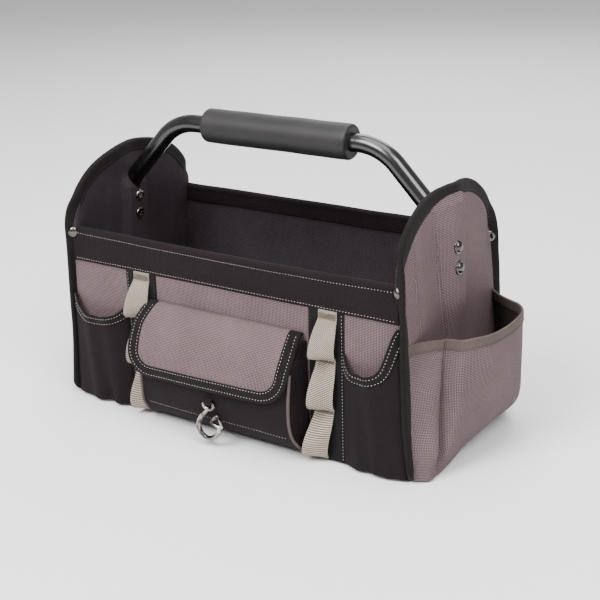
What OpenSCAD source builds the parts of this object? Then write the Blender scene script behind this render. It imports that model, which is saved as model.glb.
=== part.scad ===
// Open-top tool tote with a bolted tube handle, a flap pocket and tool loops.
// Frame: +X to the right along the bag, front at -Y, +Z up, origin on the floor
// under the middle of the base. All sizes are in millimetres.

/* [Bag] */
// Length between the mid-planes of the two end panels, at the floor
base_len = 424; // [400:1:440]
// Depth over the outer faces of the front and back panels
bag_depth = 197; // [185:1:205]
// Height of the front and back panels, with their bands
panel_h = 200; // [196:1:210]
// Depth of the end panels over their bindings
end_depth = 213; // [211:1:217]
// Height of the end panels, along their lean, at the top of the arch
arch_h = 272.5; // [268:0.5:280]
// How far the end panels lean inwards, in degrees
lean = 3.4; // [2.8:0.1:3.8]

/* [Handle] */
// Outer diameter of the steel tube
tube_d = 19; // [17:0.5:19.5]
// Wall of the steel tube
tube_wall = 1.5; // [1:0.1:2]
// Height of the tube's top run, at its centre line
handle_h = 301; // [295:1:310]
// Length of the foam grip
grip_len = 178; // [150:1:190]
// Outer diameter of the foam grip
grip_d = 37; // [32:0.5:40]
// How far the grip sits right of the middle
grip_shift = 5; // [0:1:7]

/* [Front] */
// Width of the black webbing strips
strip_w = 40; // [36:1:42]
// Width of the pale loop webbing
loop_w = 22; // [18:1:24]
// How far the pale loops bulge forward
loop_bulge = 19; // [14:1:21]
// Width of the flap pocket
pocket_w = 184; // [160:1:186]
// How far the flap pocket stands out from the strips
pocket_depth = 28; // [24:1:30]
// Height of the flap's fold line
flap_z = 132.5; // [130:0.5:136]
// Width of the end pockets' bulge at the rim
end_pocket_out = 58; // [45:1:62]

/* [Hidden] */
$fn = 64;
fabric = 1.2;              // one layer of coated fabric
board = 2.6;               // stiffening board
stack = board / 2 + fabric; // half the thickness of an end panel
tape = 1.2;                // binding tape
tape_w = 11;               // how far a binding reaches in from its edge
edge_tape = 1.5;           // binding over a raw edge
panel_t = 3;               // front and back panels, board and lining
base_t = 2.2;              // base fabric
facing_t = 0.8;            // outer facing of the front and back
band_t = 1.6;              // folded top band
band_z = 162;              // lower edge of the outer band
strip_t = 1.4;             // webbing strip
half_depth = bag_depth / 2;
facing_y = half_depth + facing_t;
strip_y = facing_y + strip_t;
end_half = end_depth / 2;
arch_z = 195;              // where the sides turn into the arch
arch_power = 2.2;          // exponent of the arch's superellipse
foot_r = 14;               // bottom corners of the end panels
end_x = base_len / 2;
tube_r = tube_d / 2;
sleeve_half = 26;          // half the width of the tube's sleeve
sleeve_low = 40;           // lowest point of the inner sleeve
sleeve_top = 222;          // highest point of the inner sleeve
mouth_top = 250;           // top of the slot where the tube comes out
leg_low = 170;             // lower end of the tube's legs
leg_high = 227;            // where a leg meets the sloping run
knee_x = 127;              // where a sloping run meets the top run
leg_bend = 30;
knee_bend = 60;
screw_z = [190, 211];
screw_r = 2.45;
hole_r = 2.6;
strip_mid = 7;             // the strips' middle, right of the bag's
strip_gap = 114.5;         // from that middle to each strip's centre
loop_pitch = 50;
loop_t = 1.4;
pocket_top = 94;
pocket_foot = 22;          // where the pocket's face turns back to the base
face_y = strip_y + pocket_depth;
hinge_y = facing_y + 3.7;
flap_low = 58;
flap_t = 1.6;
flap_in = face_y + 3.4;    // inner face of the flap's hanging part
hook_z = 50;
hook_r = 1.8;              // eye wire
wire_r = 2.5;              // hook wire
hook_y = face_y + 6.4;
pocket_wall = 1.3;
rivet_z = 193;
end_rim = 135;

grey = [0.55, 0.51, 0.52];
black = [0.13, 0.12, 0.13];
pale = [0.78, 0.75, 0.70];
nickel = [0.75, 0.73, 0.70];

// ---------------------------------------------------------------- helpers

// Half the inner length of the bag at height z, between the leaning linings.
function inner_x(z) = end_x - (stack + tape) / cos(lean) - z * tan(lean);

// Outline of an end panel in its own plane, drawn in by inset.
function arch_points(inset) = let(w = end_half - inset, top = arch_h - inset, r = foot_r - inset / 2) concat(
    [for (a = [270:15:360]) [w - r + r * cos(a), inset + r + r * sin(a)]],
    [for (a = [0:5:180]) [
        w * sign(cos(a)) * pow(abs(cos(a)), 2 / arch_power),
        arch_z + (top - arch_z) * pow(sin(a), 2 / arch_power)]],
    [for (a = [180:15:270]) [-w + r + r * cos(a), inset + r + r * sin(a)]]);

// A plate of that outline, from x0 to x1 across the panel.
module arch_plate(inset, x0, x1) {
    translate([x0, 0, 0]) rotate([90, 0, 90]) linear_extrude(x1 - x0) polygon(arch_points(inset));
}

// Moves what is drawn in an end panel's own frame to the right or left end.
module at_end(side) {
    if (side > 0) translate([end_x, 0, 0.25]) rotate([0, -lean, 0]) children();
    else mirror([1, 0, 0]) translate([end_x, 0, 0.25]) rotate([0, -lean, 0]) children();
}

// Plan of the outer layer: flat, with a ridge over the tube. grow thickens it outwards.
function ridge_plan(x, out, grow) = [
    [x + grow, -end_half], [x + grow, -sleeve_half], [out + grow, -6],
    [out + grow, 6], [x + grow, sleeve_half], [x + grow, end_half]];

function backwards(v) = [for (i = [len(v) - 1:-1:0]) v[i]];

// Region between two plan lines, run up the whole panel.
module between(line_a, line_b, z0, z1) {
    translate([0, 0, z0]) linear_extrude(z1 - z0) polygon(concat(line_a, backwards(line_b)));
}

ridge_out = tube_r + 0.2;

// A bar along X-Z points, with round bends. The straights reach a little way into the
// bends, which are a hair slimmer, so that no two surfaces coincide.
lap = 0.6;
module bent_bar(points, bends, r, slim) {
    last = len(points) - 1;
    function way(i) = (points[i + 1] - points[i]) / norm(points[i + 1] - points[i]);
    function turn(i) = let(a = way(i - 1), b = way(i)) atan2(a[0] * b[1] - a[1] * b[0], a * b);
    function cut(i) = (i == 0 || i == last) ? 0 : bends[i - 1] * tan(abs(turn(i)) / 2) - lap;
    for (i = [0:last - 1]) {
        d = way(i);
        start = points[i] + d * cut(i);
        run = norm(points[i + 1] - points[i]) - cut(i) - cut(i + 1);
        translate([start[0], 0, start[1]]) rotate([0, 90 - atan2(d[1], d[0]), 0]) cylinder(r = r, h = run);
    }
    for (i = [1:last - 1]) {
        side = sign(turn(i));
        n = [-way(i - 1)[1], way(i - 1)[0]] * side;
        start = points[i] - way(i - 1) * (cut(i) + lap);
        centre = start + n * bends[i - 1];
        from = atan2(start[1] - centre[1], start[0] - centre[0]);
        translate([centre[0], 0, centre[1]]) rotate([90, 0, 0])
            rotate([0, 0, side > 0 ? from : from - abs(turn(i))])
            rotate_extrude(angle = abs(turn(i)), $fn = 96) translate([bends[i - 1], 0]) circle(r - slim);
    }
}

// The tube's centre line, from the right leg to the left one.
function leg_x(z) = end_x - z * tan(lean);
tube_path = [[leg_x(leg_low), leg_low], [leg_x(leg_high), leg_high], [knee_x, handle_h],
    [-knee_x, handle_h], [-leg_x(leg_high), leg_high], [-leg_x(leg_low), leg_low]];
tube_bends = [leg_bend, knee_bend, knee_bend, leg_bend];

// Cylinders across the sleeves where the handle screws go.
module screw_holes(side, r, x0, x1) {
    at_end(side) for (z = screw_z) translate([x0, 0, z / cos(lean)]) rotate([0, 90, 0]) cylinder(r = r, h = x1 - x0);
}

// ---------------------------------------------------------------- body

module base_panel() {
    color(black) translate([0, 0, base_t / 2])
        cube([2 * inner_x(base_t), bag_depth, base_t], center = true);
}

module base_board() {
    color([0.2, 0.2, 0.2]) translate([0, 0, base_t + 1.5])
        cube([2 * inner_x(8) - 2, bag_depth - 2 * panel_t - 1, 3], center = true);
}

// A sheet parallel to the front, between the linings, from depth y0 to y1 and height z0 to z1.
module long_sheet(y0, y1, z0, z1) {
    translate([0, y1, 0]) rotate([90, 0, 0]) linear_extrude(y1 - y0)
        polygon([[-inner_x(z0), z0], [inner_x(z0), z0], [inner_x(z1), z1], [-inner_x(z1), z1]]);
}

module long_panel() { long_sheet(-half_depth, -half_depth + panel_t, base_t, panel_h - band_t); }

module long_band() {
    long_sheet(-half_depth - band_t, -half_depth, band_z, panel_h - band_t);
    long_sheet(-half_depth - band_t, -half_depth + panel_t + band_t, panel_h - band_t, panel_h);
    long_sheet(-half_depth + panel_t, -half_depth + panel_t + band_t, panel_h - 20, panel_h - band_t);
}

module long_facing() { long_sheet(-facing_y, -half_depth, base_t, band_z); }

module front_panel() { color(black) long_panel(); }
module back_panel() { color(black) mirror([0, 1, 0]) long_panel(); }
module front_band() { color(black) long_band(); }
module back_band() { color(black) mirror([0, 1, 0]) long_band(); }
module front_facing() { color(grey) long_facing(); }
module back_facing() { color(black) mirror([0, 1, 0]) long_facing(); }

// ---------------------------------------------------------------- ends

module end_skin(side) {
    color(grey) difference() {
        at_end(side) intersection() {
            arch_plate(edge_tape, -20, 20);
            between(ridge_plan(board / 2, ridge_out, fabric), ridge_plan(board / 2, ridge_out, 0), -10, 300);
        }
        screw_holes(side, hole_r, 0, 20);
    }
}

module end_lining(side) {
    color(black) difference() {
        at_end(side) intersection() {
            arch_plate(edge_tape, -20, 20);
            union() {
                between(ridge_plan(-board / 2, -ridge_out, -fabric), ridge_plan(-board / 2, -ridge_out, 0),
                    sleeve_low, sleeve_top);
                translate([-stack, -end_half, -10]) cube([fabric, end_depth, sleeve_low + 10]);
                translate([-stack, -end_half, sleeve_top]) cube([fabric, end_depth, 80]);
            }
        }
        screw_holes(side, hole_r, -20, 0);
        at_end(side) translate([-20, -tube_r - 0.7, sleeve_top - 3.5])
            cube([20, tube_d + 1.4, mouth_top - sleeve_top + 3.5]);
    }
}

module end_boards(side) {
    color([0.25, 0.25, 0.24]) at_end(side) for (back = [0, 1]) mirror([0, back, 0]) intersection() {
        arch_plate(edge_tape + 2, -board / 2, board / 2);
        translate([-5, sleeve_half + 0.6, 0]) cube([10, end_half, 300]);
    }
}

module end_binding(side) {
    color(black) at_end(side) difference() {
        intersection() {
            difference() {
                arch_plate(0, -20, 20);
                arch_plate(tape_w, -21, 21);
            }
            between(ridge_plan(board / 2, ridge_out, fabric + tape), ridge_plan(-stack, -stack, -tape), -10, 300);
        }
        intersection() {
            arch_plate(edge_tape, -20, 20);
            between(ridge_plan(board / 2, ridge_out, fabric), ridge_plan(-stack, -stack, 0), -10, 300);
        }
    }
}

// Plan of an end pocket: a D whose flat side lies on the end panel.
module pocket_plan(out, half, inset) {
    polygon([for (a = [-90:10:90]) [
        (out - inset) * pow(cos(a), 0.8), (half - inset) * sign(sin(a)) * pow(abs(sin(a)), 0.8)]]);
}

// The space inside the outline of an end pocket, between two heights. The floor is narrower.
module pocket_body(inset, z0, z1) {
    floor_out = 23;
    grow = (end_pocket_out - floor_out) / end_rim;
    hull() for (z = [z0, z1]) translate([0, 0, z])
        linear_extrude(0.2) pocket_plan(floor_out + grow * z, 96, inset);
}

end_face = stack + tape + 0.4;

module end_pocket(side) {
    color(grey) at_end(side) difference() {
        translate([end_face, 0, 0]) difference() {
            pocket_body(0, 1.2, end_rim - 0.2);
            pocket_body(pocket_wall, 4, end_rim + 2);
        }
        between(ridge_plan(0, 0, 0), ridge_plan(board / 2, ridge_out, fabric + tape + 0.2), -10, 300);
    }
}

module end_pocket_binding(side) {
    color(grey) at_end(side) difference() {
        translate([end_face, 0, 0]) difference() {
            pocket_body(-1, end_rim - 9, end_rim - 0.2);
            pocket_body(-0.3, end_rim - 12, end_rim + 2);
        }
        between(ridge_plan(0, 0, 0), ridge_plan(board / 2, ridge_out, fabric + tape + 0.2), -10, 300);
    }
}

// ---------------------------------------------------------------- handle

module handle_tube() {
    color(black) difference() {
        bent_bar(tube_path, tube_bends, tube_r, 0.03);
        bent_bar(concat([tube_path[0] - [0, 5]], [for (i = [1:4]) tube_path[i]], [tube_path[5] - [0, 5]]),
            tube_bends, tube_r - tube_wall, -0.03);
        for (side = [-1, 1]) screw_holes(side, hole_r, -20, 20);
    }
}

module handle_grip() {
    color(black) translate([grip_shift - grip_len / 2, 0, handle_h]) rotate([0, 90, 0]) difference() {
        cylinder(d = grip_d, h = grip_len);
        translate([0, 0, -1]) cylinder(r = tube_r + 0.02, h = grip_len + 2);
    }
}

screw_face = ridge_out + fabric;

module handle_screws() {
    color(nickel) for (side = [-1, 1]) at_end(side) for (z = screw_z) translate([0, 0, z / cos(lean)])
        rotate([0, 90, 0]) {
            translate([0, 0, -screw_face]) cylinder(r = screw_r, h = 2 * screw_face);
            translate([0, 0, screw_face]) intersection() {
                translate([0, 0, -6.5]) sphere(9.5);
                cylinder(r = 7, h = 4);
            }
        }
}

module handle_barrel_nuts() {
    color(nickel) for (side = [-1, 1]) at_end(side) for (z = screw_z) translate([0, 0, z / cos(lean)])
        rotate([0, -90, 0]) translate([0, 0, screw_face]) difference() {
            cylinder(r = 6.2, h = 1.8);
            translate([0, 0, -1]) cylinder(r = screw_r + 0.05, h = 4);
        }
}

// Domed caps on the front and back edges of the bindings, level with the bands.
module corner_rivet_caps() {
    color(nickel) for (side = [-1, 1]) at_end(side) for (back = [0, 1]) mirror([0, back, 0])
        translate([0, -end_half, rivet_z]) rotate([90, 0, 0]) intersection() {
            translate([0, 0, -5.5]) sphere(8.9);
            cylinder(r = 7, h = 4);
        }
}

// Rings on the outer side of the same bindings.
module corner_rivet_rings() {
    color(nickel) for (side = [-1, 1]) at_end(side) for (back = [0, 1]) mirror([0, back, 0])
        translate([stack + tape, -end_half + 6.5, rivet_z]) rotate([0, 90, 0]) difference() {
            cylinder(r = 6, h = 1.2);
            translate([0, 0, -1]) cylinder(r = 2.4, h = 3);
        }
}

// ---------------------------------------------------------------- front

module webbing_strip(side) {
    color(black) translate([strip_mid + side * strip_gap - strip_w / 2, -strip_y, 3])
        cube([strip_w, strip_t, band_z - 3]);
}

loop_top = 158;

// Three loops, one under another: half an ellipse each, with a tack between them.
function loop_line(grow) = [for (n = [0:2], a = [0:10:180]) let(half = (loop_pitch - 6) / 2) [
    strip_y + grow + 0.01 + (loop_bulge - loop_t) * pow(sin(a), 0.8),
    loop_top - 3 - loop_pitch * n - half + (half - (loop_t - grow) * 0.7) * cos(a)]];

module tool_loops(side) {
    x = (side > 0 ? strip_mid + strip_gap : strip_mid - strip_gap - 2) - loop_w / 2;
    color(pale) translate([x, 0, 0]) rotate([90, 0, 90]) mirror([1, 0]) linear_extrude(loop_w) difference() {
        polygon(concat([[strip_y, loop_top], [strip_y + loop_t, loop_top]], loop_line(loop_t),
            [[strip_y + loop_t, 6], [strip_y, 6]]));
        for (n = [0:2]) polygon([for (a = [0:10:180]) let(half = (loop_pitch - 6) / 2 - loop_t) [
            strip_y - 0.01 + (loop_bulge - loop_t) * pow(sin(a), 0.8),
            loop_top - 3 - loop_pitch * n - half - loop_t + half * cos(a)]]);
    }
}

// A side pocket from x0 to x1: a bowed wall with a scooped rim.
pocket_low = 3;
module bow(x0, x1, out, inset) {
    w = (x1 - x0) / 2 - inset;
    translate([(x0 + x1) / 2, 0]) polygon([for (a = [0:10:180])
        [w * sign(cos(a)) * pow(abs(cos(a)), 0.7), -facing_y - (out - inset) * pow(sin(a), 0.7)]]);
}

// The mouth's edge from its left end to its right one, as shares of the span and heights over the
// lowest point. The right pocket's edge climbs to the band along the corner seam.
left_mouth = [[0, 15], [0.06, 11.5], [0.15, 7], [0.28, 2.8], [0.42, 0.5], [0.55, 0], [0.7, 1.6], [0.83, 5.6],
    [0.93, 10.8], [1, 15]];
right_mouth = [[0, 15], [0.06, 11.5], [0.15, 6.5], [0.27, 2.4], [0.4, 0.4], [0.52, 0.2], [0.64, 2], [0.74, 6.4],
    [0.81, 13], [0.86, 22], [0.9, 34], [0.935, 50]];

module mouth(span, edge, grow) {
    w = span[1] - span[0];
    last = edge[len(edge) - 1];
    translate([0, -70, 0]) rotate([90, 0, 0]) linear_extrude(80) offset(delta = grow) polygon(concat(
        [[span[0] - 20, 240], [span[0] - 20, rim_low + 15]],
        [for (e = edge) [span[0] + e[0] * w, rim_low + e[1]]],
        [last[0] < 1 ? [span[0] + last[0] * w, 240] : [span[1] + 20, rim_low + 15], [span[1] + 20, 240]]));
}

right_pocket = [143.5, 197];
left_pocket = [-197, -129.5];
pocket_out = 15;
rim_low = 105;

module side_pocket(span, edge) {
    high = edge[len(edge) - 1][1];
    difference() {
        translate([0, 0, pocket_low]) linear_extrude(rim_low + high - pocket_low)
            bow(span[0], span[1], pocket_out, 0);
        translate([0, 0, pocket_low + 2]) linear_extrude(200) bow(span[0], span[1], pocket_out, pocket_wall);
        mouth(span, edge, 0);
    }
}

module side_pocket_binding(span, edge) {
    high = edge[len(edge) - 1][1];
    difference() {
        intersection() {
            translate([0, 0, pocket_low]) linear_extrude(rim_low + high - pocket_low)
                bow(span[0], span[1], pocket_out + 1, 0);
            mouth(span, edge, 9);
        }
        translate([0, 0, pocket_low - 1]) linear_extrude(200) bow(span[0] - 0.5, span[1] + 0.5, pocket_out + 0.05, 0);
        mouth(span, edge, 0);
    }
}

module front_pocket_right() { color(black) side_pocket(right_pocket, right_mouth); }
module front_pocket_left() { color(black) side_pocket(left_pocket, left_mouth); }
module front_pocket_binding_right() { color(black) side_pocket_binding(right_pocket, right_mouth); }
module front_pocket_binding_left() { color(black) side_pocket_binding(left_pocket, left_mouth); }

// ---------------------------------------------------------------- flap pocket

// Draws a Y-Z outline, with y measured forward, and runs it from x0 to x1.
module across(x0, x1, points) {
    translate([x0, 0, 0]) rotate([90, 0, 90]) linear_extrude(x1 - x0) polygon([for (p = points) [-p[0], p[1]]]);
}

module flap_pocket_gusset() {
    half = pocket_w / 2;
    color(black) difference() {
        across(-half, half, [[strip_y, 4], [face_y, pocket_foot], [face_y, pocket_top], [strip_y, pocket_top]]);
        across(-half + fabric, half - fabric, [[strip_y - 1, 5.6], [strip_y, 5.6], [face_y, pocket_foot + 1.6],
            [face_y + 1, pocket_foot + 1.6], [face_y + 1, pocket_top + 1], [strip_y - 1, pocket_top + 1]]);
    }
}

module flap_pocket_face() {
    half = pocket_w / 2;
    color(black) across(-half, half, [[face_y, pocket_foot], [face_y + fabric, pocket_foot],
        [face_y + fabric, pocket_top], [face_y, pocket_top]]);
}

module flap_pocket_piping() {
    r = 1.3;
    low = [face_y - 1, pocket_foot + 2];
    foot = [strip_y + 3, 7];
    color(grey) for (side = [-1, 1]) translate([side * (pocket_w / 2 + r + 0.05), 0, 0]) {
        translate([0, -low[0], low[1]]) cylinder(r = r, h = pocket_top - low[1]);
        translate([0, -low[0], low[1]]) sphere(r);
        translate([0, -low[0], low[1]]) rotate([-atan2(foot[0] - low[0], foot[1] - low[1]) * -1, 0, 0])
            cylinder(r = r, h = norm(foot - low));
    }
}

module pocket_loop_patch() {
    color(black) translate([-40, -face_y - fabric - 0.9, 70]) cube([80, 0.9, 20]);
}

// ---------------------------------------------------------------- flap

flap_left = -104;
flap_right = 96.5;
flap_root = 97;     // half the flap's width at its fold
flap_corner = 26;

// Points down the flap's inner face, as [forward, height]. grow thickens it outwards.
function bend(a, b, c, t) = a * (1 - t) * (1 - t) + b * 2 * t * (1 - t) + c * t * t;
function flap_line(grow) = let(
    a = [hinge_y + 0.3, flap_z - 0.3], c = [flap_in, flap_z - 44], b = a + [20, -13]) concat(
    [for (t = [0:0.125:1]) bend(a, b, c, t) + grow * [0.85 + 0.15 * t, 0.6 * (1 - t)]],
    [[flap_in + grow, flap_low]]);

module flap_sheet(inner, outer) { across(-150, 150, concat(flap_line(inner), backwards(flap_line(outer)))); }

// The flap's outline as seen from the front, drawn in by inset.
module flap_front(inset, root_inset) {
    shoulder = 108;
    r = flap_corner - inset;
    rotate([90, 0, 0]) linear_extrude(400, center = true) {
        hull() {
            translate([flap_left + flap_corner, flap_low + flap_corner]) circle(r);
            translate([flap_right - flap_corner, flap_low + flap_corner]) circle(r);
            translate([flap_left + inset, shoulder - 8]) square([flap_right - flap_left - 2 * inset, 4]);
        }
        polygon([[flap_left + inset, shoulder - 6], [flap_right - inset, shoulder - 6],
            [flap_root - root_inset, shoulder + 8], [flap_root - root_inset, flap_z + 10],
            [-flap_root + root_inset, flap_z + 10], [-flap_root + root_inset, shoulder + 8]]);
    }
}

module flap() {
    color(grey) intersection() {
        flap_sheet(0.8, 0.8 + flap_t);
        flap_front(1.2, 1.2);
    }
}

module flap_binding() {
    color(black) difference() {
        intersection() {
            flap_sheet(0.1, 1.5 + flap_t);
            difference() {
                flap_front(0, 0);
                flap_front(9, 9);
            }
        }
        intersection() {
            flap_sheet(0.8, 0.8 + flap_t);
            flap_front(1.2, 1.2);
        }
    }
}

module flap_hook_patch() {
    color(black) translate([-40, -flap_in - 0.8, 70]) cube([80, 0.9, 14]);
}

// ---------------------------------------------------------------- key hook

eye_half = 6.5;

// A webbing tab folded round the eye's bar and sewn to the pocket's face.
module hook_tab() {
    color(black) translate([-3.4, 0, 0]) {
        translate([0, -hook_y, hook_z]) rotate([0, 90, 0]) difference() {
            cylinder(r = hook_r + 1.6, h = 6.8);
            translate([0, 0, -1]) cylinder(r = hook_r + 0.3, h = 10);
        }
        difference() {
            across(0, 6.8, [[face_y + fabric, hook_z - 1.4], [hook_y, hook_z - 1.4], [hook_y, hook_z + 1.4],
                [face_y + fabric, hook_z + 7]]);
            translate([-1, -hook_y, hook_z]) rotate([0, 90, 0]) cylinder(r = hook_r + 0.3, h = 10);
        }
    }
}

// A rod between two X-Z points of the hook's plane, with round ends.
module rod(a, b, r) {
    d = b - a;
    translate([a[0], 0, a[1]]) rotate([0, 90 - atan2(d[1], d[0]), 0]) cylinder(r = r, h = norm(d));
    translate([a[0], 0, a[1]]) sphere(r + 0.05);
    translate([b[0], 0, b[1]]) sphere(r + 0.05);
}

// Eye, shank, round belly and a small ring at the free end.
module key_hook() {
    belly = [-1, -28];
    belly_r = 13;
    ring = belly + [belly_r + 1, 8.5];
    color(nickel) translate([0, -hook_y, hook_z]) {
        rod([-eye_half, 0], [eye_half, 0], hook_r);
        for (side = [-1, 1]) {
            rod([side * eye_half, 0], [side * 5.2, -5.4], hook_r);
            rod([side * 5.2, -5.4], [-2.5, -8.5], hook_r);
        }
        rod([-2.5, -8.5], belly + belly_r * [cos(165), sin(165)], wire_r);
        translate([belly[0], 0, belly[1]]) rotate([90, 0, 0]) rotate([0, 0, 165])
            rotate_extrude(angle = 206) translate([belly_r, 0]) circle(wire_r);
        translate([ring[0], 0, ring[1]]) rotate([90, 0, 0]) rotate_extrude() translate([4.6, 0]) circle(1.9);
    }
}

// ---------------------------------------------------------------- pocket rows

// Three open compartments side by side, from depth y0 to y1.
module pocket_row(half, y0, y1, low, high) {
    wide = 2 * half / 3;
    difference() {
        translate([-half, y0, low]) cube([2 * half, y1 - y0, high - low]);
        for (n = [0:2]) translate([-half + wide * n + pocket_wall, y0 - 1, low + 2])
            cube([wide - 2 * pocket_wall, y1 - y0 + 1 - pocket_wall, high]);
    }
}

module row_binding(half, y, low, high) {
    translate([-half, y, low]) cube([2 * half, 0.9, high - low]);
}

inner_half = 150;
inner_y = -half_depth + panel_t;
inner_top = 120;
back_half = 192;
back_top = 122;
row_depth = 14;

module inner_pocket_row() {
    color(black) pocket_row(inner_half, inner_y, inner_y + row_depth, 6, inner_top);
}
module inner_pocket_binding() {
    color(black) row_binding(inner_half, inner_y + row_depth, inner_top - 9, inner_top);
}
module back_pocket_row() { color(black) pocket_row(back_half, facing_y, facing_y + row_depth, 3, back_top); }
module back_pocket_binding() {
    color(black) row_binding(back_half, facing_y + row_depth, back_top - 9, back_top);
}

// ---------------------------------------------------------------- nodes

base_panel();
base_board();
front_panel();
back_panel();
front_band();
back_band();
front_facing();
back_facing();
end_skin(1);  // end_skin_right
end_skin(-1);  // end_skin_left
end_lining(1);  // end_lining_right
end_lining(-1);  // end_lining_left
end_boards(1);  // end_boards_right
end_boards(-1);  // end_boards_left
end_binding(1);  // end_binding_right
end_binding(-1);  // end_binding_left
end_pocket(1);  // end_pocket_right
end_pocket(-1);  // end_pocket_left
end_pocket_binding(1);  // end_pocket_binding_right
end_pocket_binding(-1);  // end_pocket_binding_left
handle_tube();
handle_grip();
handle_screws();
handle_barrel_nuts();
corner_rivet_caps();
corner_rivet_rings();
webbing_strip(1);  // webbing_strip_right
webbing_strip(-1);  // webbing_strip_left
tool_loops(1);  // tool_loops_right
tool_loops(-1);  // tool_loops_left
front_pocket_right();
front_pocket_left();
front_pocket_binding_right();
front_pocket_binding_left();
flap_pocket_face();
flap_pocket_gusset();
flap_pocket_piping();
pocket_loop_patch();
flap();
flap_binding();
flap_hook_patch();
hook_tab();
key_hook();
inner_pocket_row();
inner_pocket_binding();
back_pocket_row();
back_pocket_binding();
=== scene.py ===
"""Looks of an open-top tool tote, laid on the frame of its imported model.

Lengths are in millimetres until a mesh is made. "Forward" is towards -Y, so a forward value
of 100 is y = -100. Ends are drawn in the right end panel's own frame: x across the panel,
outwards from its middle, z up along its lean.
"""

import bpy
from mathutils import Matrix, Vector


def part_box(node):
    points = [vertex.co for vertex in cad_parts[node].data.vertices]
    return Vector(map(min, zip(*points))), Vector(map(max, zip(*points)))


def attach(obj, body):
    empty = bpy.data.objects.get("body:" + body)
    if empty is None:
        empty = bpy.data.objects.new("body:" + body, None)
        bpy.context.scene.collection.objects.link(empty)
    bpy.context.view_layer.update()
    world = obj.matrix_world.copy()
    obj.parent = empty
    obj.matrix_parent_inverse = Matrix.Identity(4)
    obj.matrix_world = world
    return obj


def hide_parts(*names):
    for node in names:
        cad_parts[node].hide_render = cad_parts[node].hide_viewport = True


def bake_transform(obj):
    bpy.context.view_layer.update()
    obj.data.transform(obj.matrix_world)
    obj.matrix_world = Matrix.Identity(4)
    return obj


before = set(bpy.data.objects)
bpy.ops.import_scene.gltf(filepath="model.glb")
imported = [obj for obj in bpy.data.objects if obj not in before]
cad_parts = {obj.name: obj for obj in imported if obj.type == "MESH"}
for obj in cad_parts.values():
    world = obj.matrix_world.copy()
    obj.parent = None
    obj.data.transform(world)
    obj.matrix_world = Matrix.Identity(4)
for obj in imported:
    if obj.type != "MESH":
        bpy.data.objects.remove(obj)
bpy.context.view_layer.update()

import math

import bmesh
import bpy
import numpy as np
from mathutils import Matrix, Vector

MM = 0.001
TURN = 2 * math.pi


# ------------------------------------------------------------------ camera, floor and lights


def aim(azimuth, elevation, roll=0.0):
    """Rotation of a camera or light that looks at the object from this direction, in degrees."""
    a, e, r = (math.radians(v) for v in (azimuth, elevation, roll))
    back = Vector((math.sin(a) * math.cos(e), -math.cos(a) * math.cos(e), math.sin(e)))
    right = (-back).cross(Vector((0, 0, 1))).normalized()
    up = right.cross(-back)
    turned = right * math.cos(r) + up * math.sin(r)
    return Matrix((turned, up * math.cos(r) - right * math.sin(r), back)).transposed().to_4x4(), back


def set_camera():
    """The camera, at a fixed place in metres, looking along its direction with a slight roll."""
    lens = bpy.data.cameras.new("camera")
    lens.sensor_width = 36
    lens.lens = 71.24
    lens.clip_end = 20
    camera = bpy.data.objects.new("camera", lens)
    bpy.context.scene.collection.objects.link(camera)
    camera.matrix_world = Matrix.Translation((0.68028, -0.99938, 0.57178)) @ aim(33.19, 20.66, -1.51)[0]
    bpy.context.scene.camera = camera


def soft_light(name, azimuth, elevation, distance, size, watts):
    """A square softbox that faces the middle of the object."""
    lamp = bpy.data.lights.new(name, "AREA")
    lamp.size = size
    lamp.energy = watts
    box = bpy.data.objects.new(name, lamp)
    bpy.context.scene.collection.objects.link(box)
    turned, back = aim(azimuth, elevation)
    box.matrix_world = Matrix.Translation(back * distance + Vector((0, 0, 0.12))) @ turned


set_camera()
soft_light("key_light", -14, 46, 2.4, 1.1, 76)
soft_light("side_light", 60, 47, 2.4, 1.2, 48)
soft_light("top_light", 20, 86, 2.2, 1.6, 44)
soft_light("back_light", 200, 40, 2.6, 1.6, 30)
world = bpy.data.worlds.new("studio")
world.use_nodes = True
world.node_tree.nodes["Background"].inputs["Color"].default_value = (1, 1, 1, 1)
world.node_tree.nodes["Background"].inputs["Strength"].default_value = 0.5
bpy.context.scene.world = world


# ------------------------------------------------------------------ materials


class Val:
    """A node's output that takes part in sums: each sum adds a Math node."""

    def __init__(self, paint, socket):
        self.paint, self.socket = paint, socket

    def __add__(self, other):
        return self.paint.sum("ADD", self, other)

    def __sub__(self, other):
        return self.paint.sum("SUBTRACT", self, other)

    def __rsub__(self, other):
        return self.paint.sum("SUBTRACT", other, self)

    def __mul__(self, other):
        return self.paint.sum("MULTIPLY", self, other)

    def __truediv__(self, other):
        return self.paint.sum("DIVIDE", self, other)

    def __rtruediv__(self, other):
        return self.paint.sum("DIVIDE", other, self)

    def __pow__(self, other):
        return self.paint.sum("POWER", self, other)

    __radd__, __rmul__ = __add__, __mul__


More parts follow.
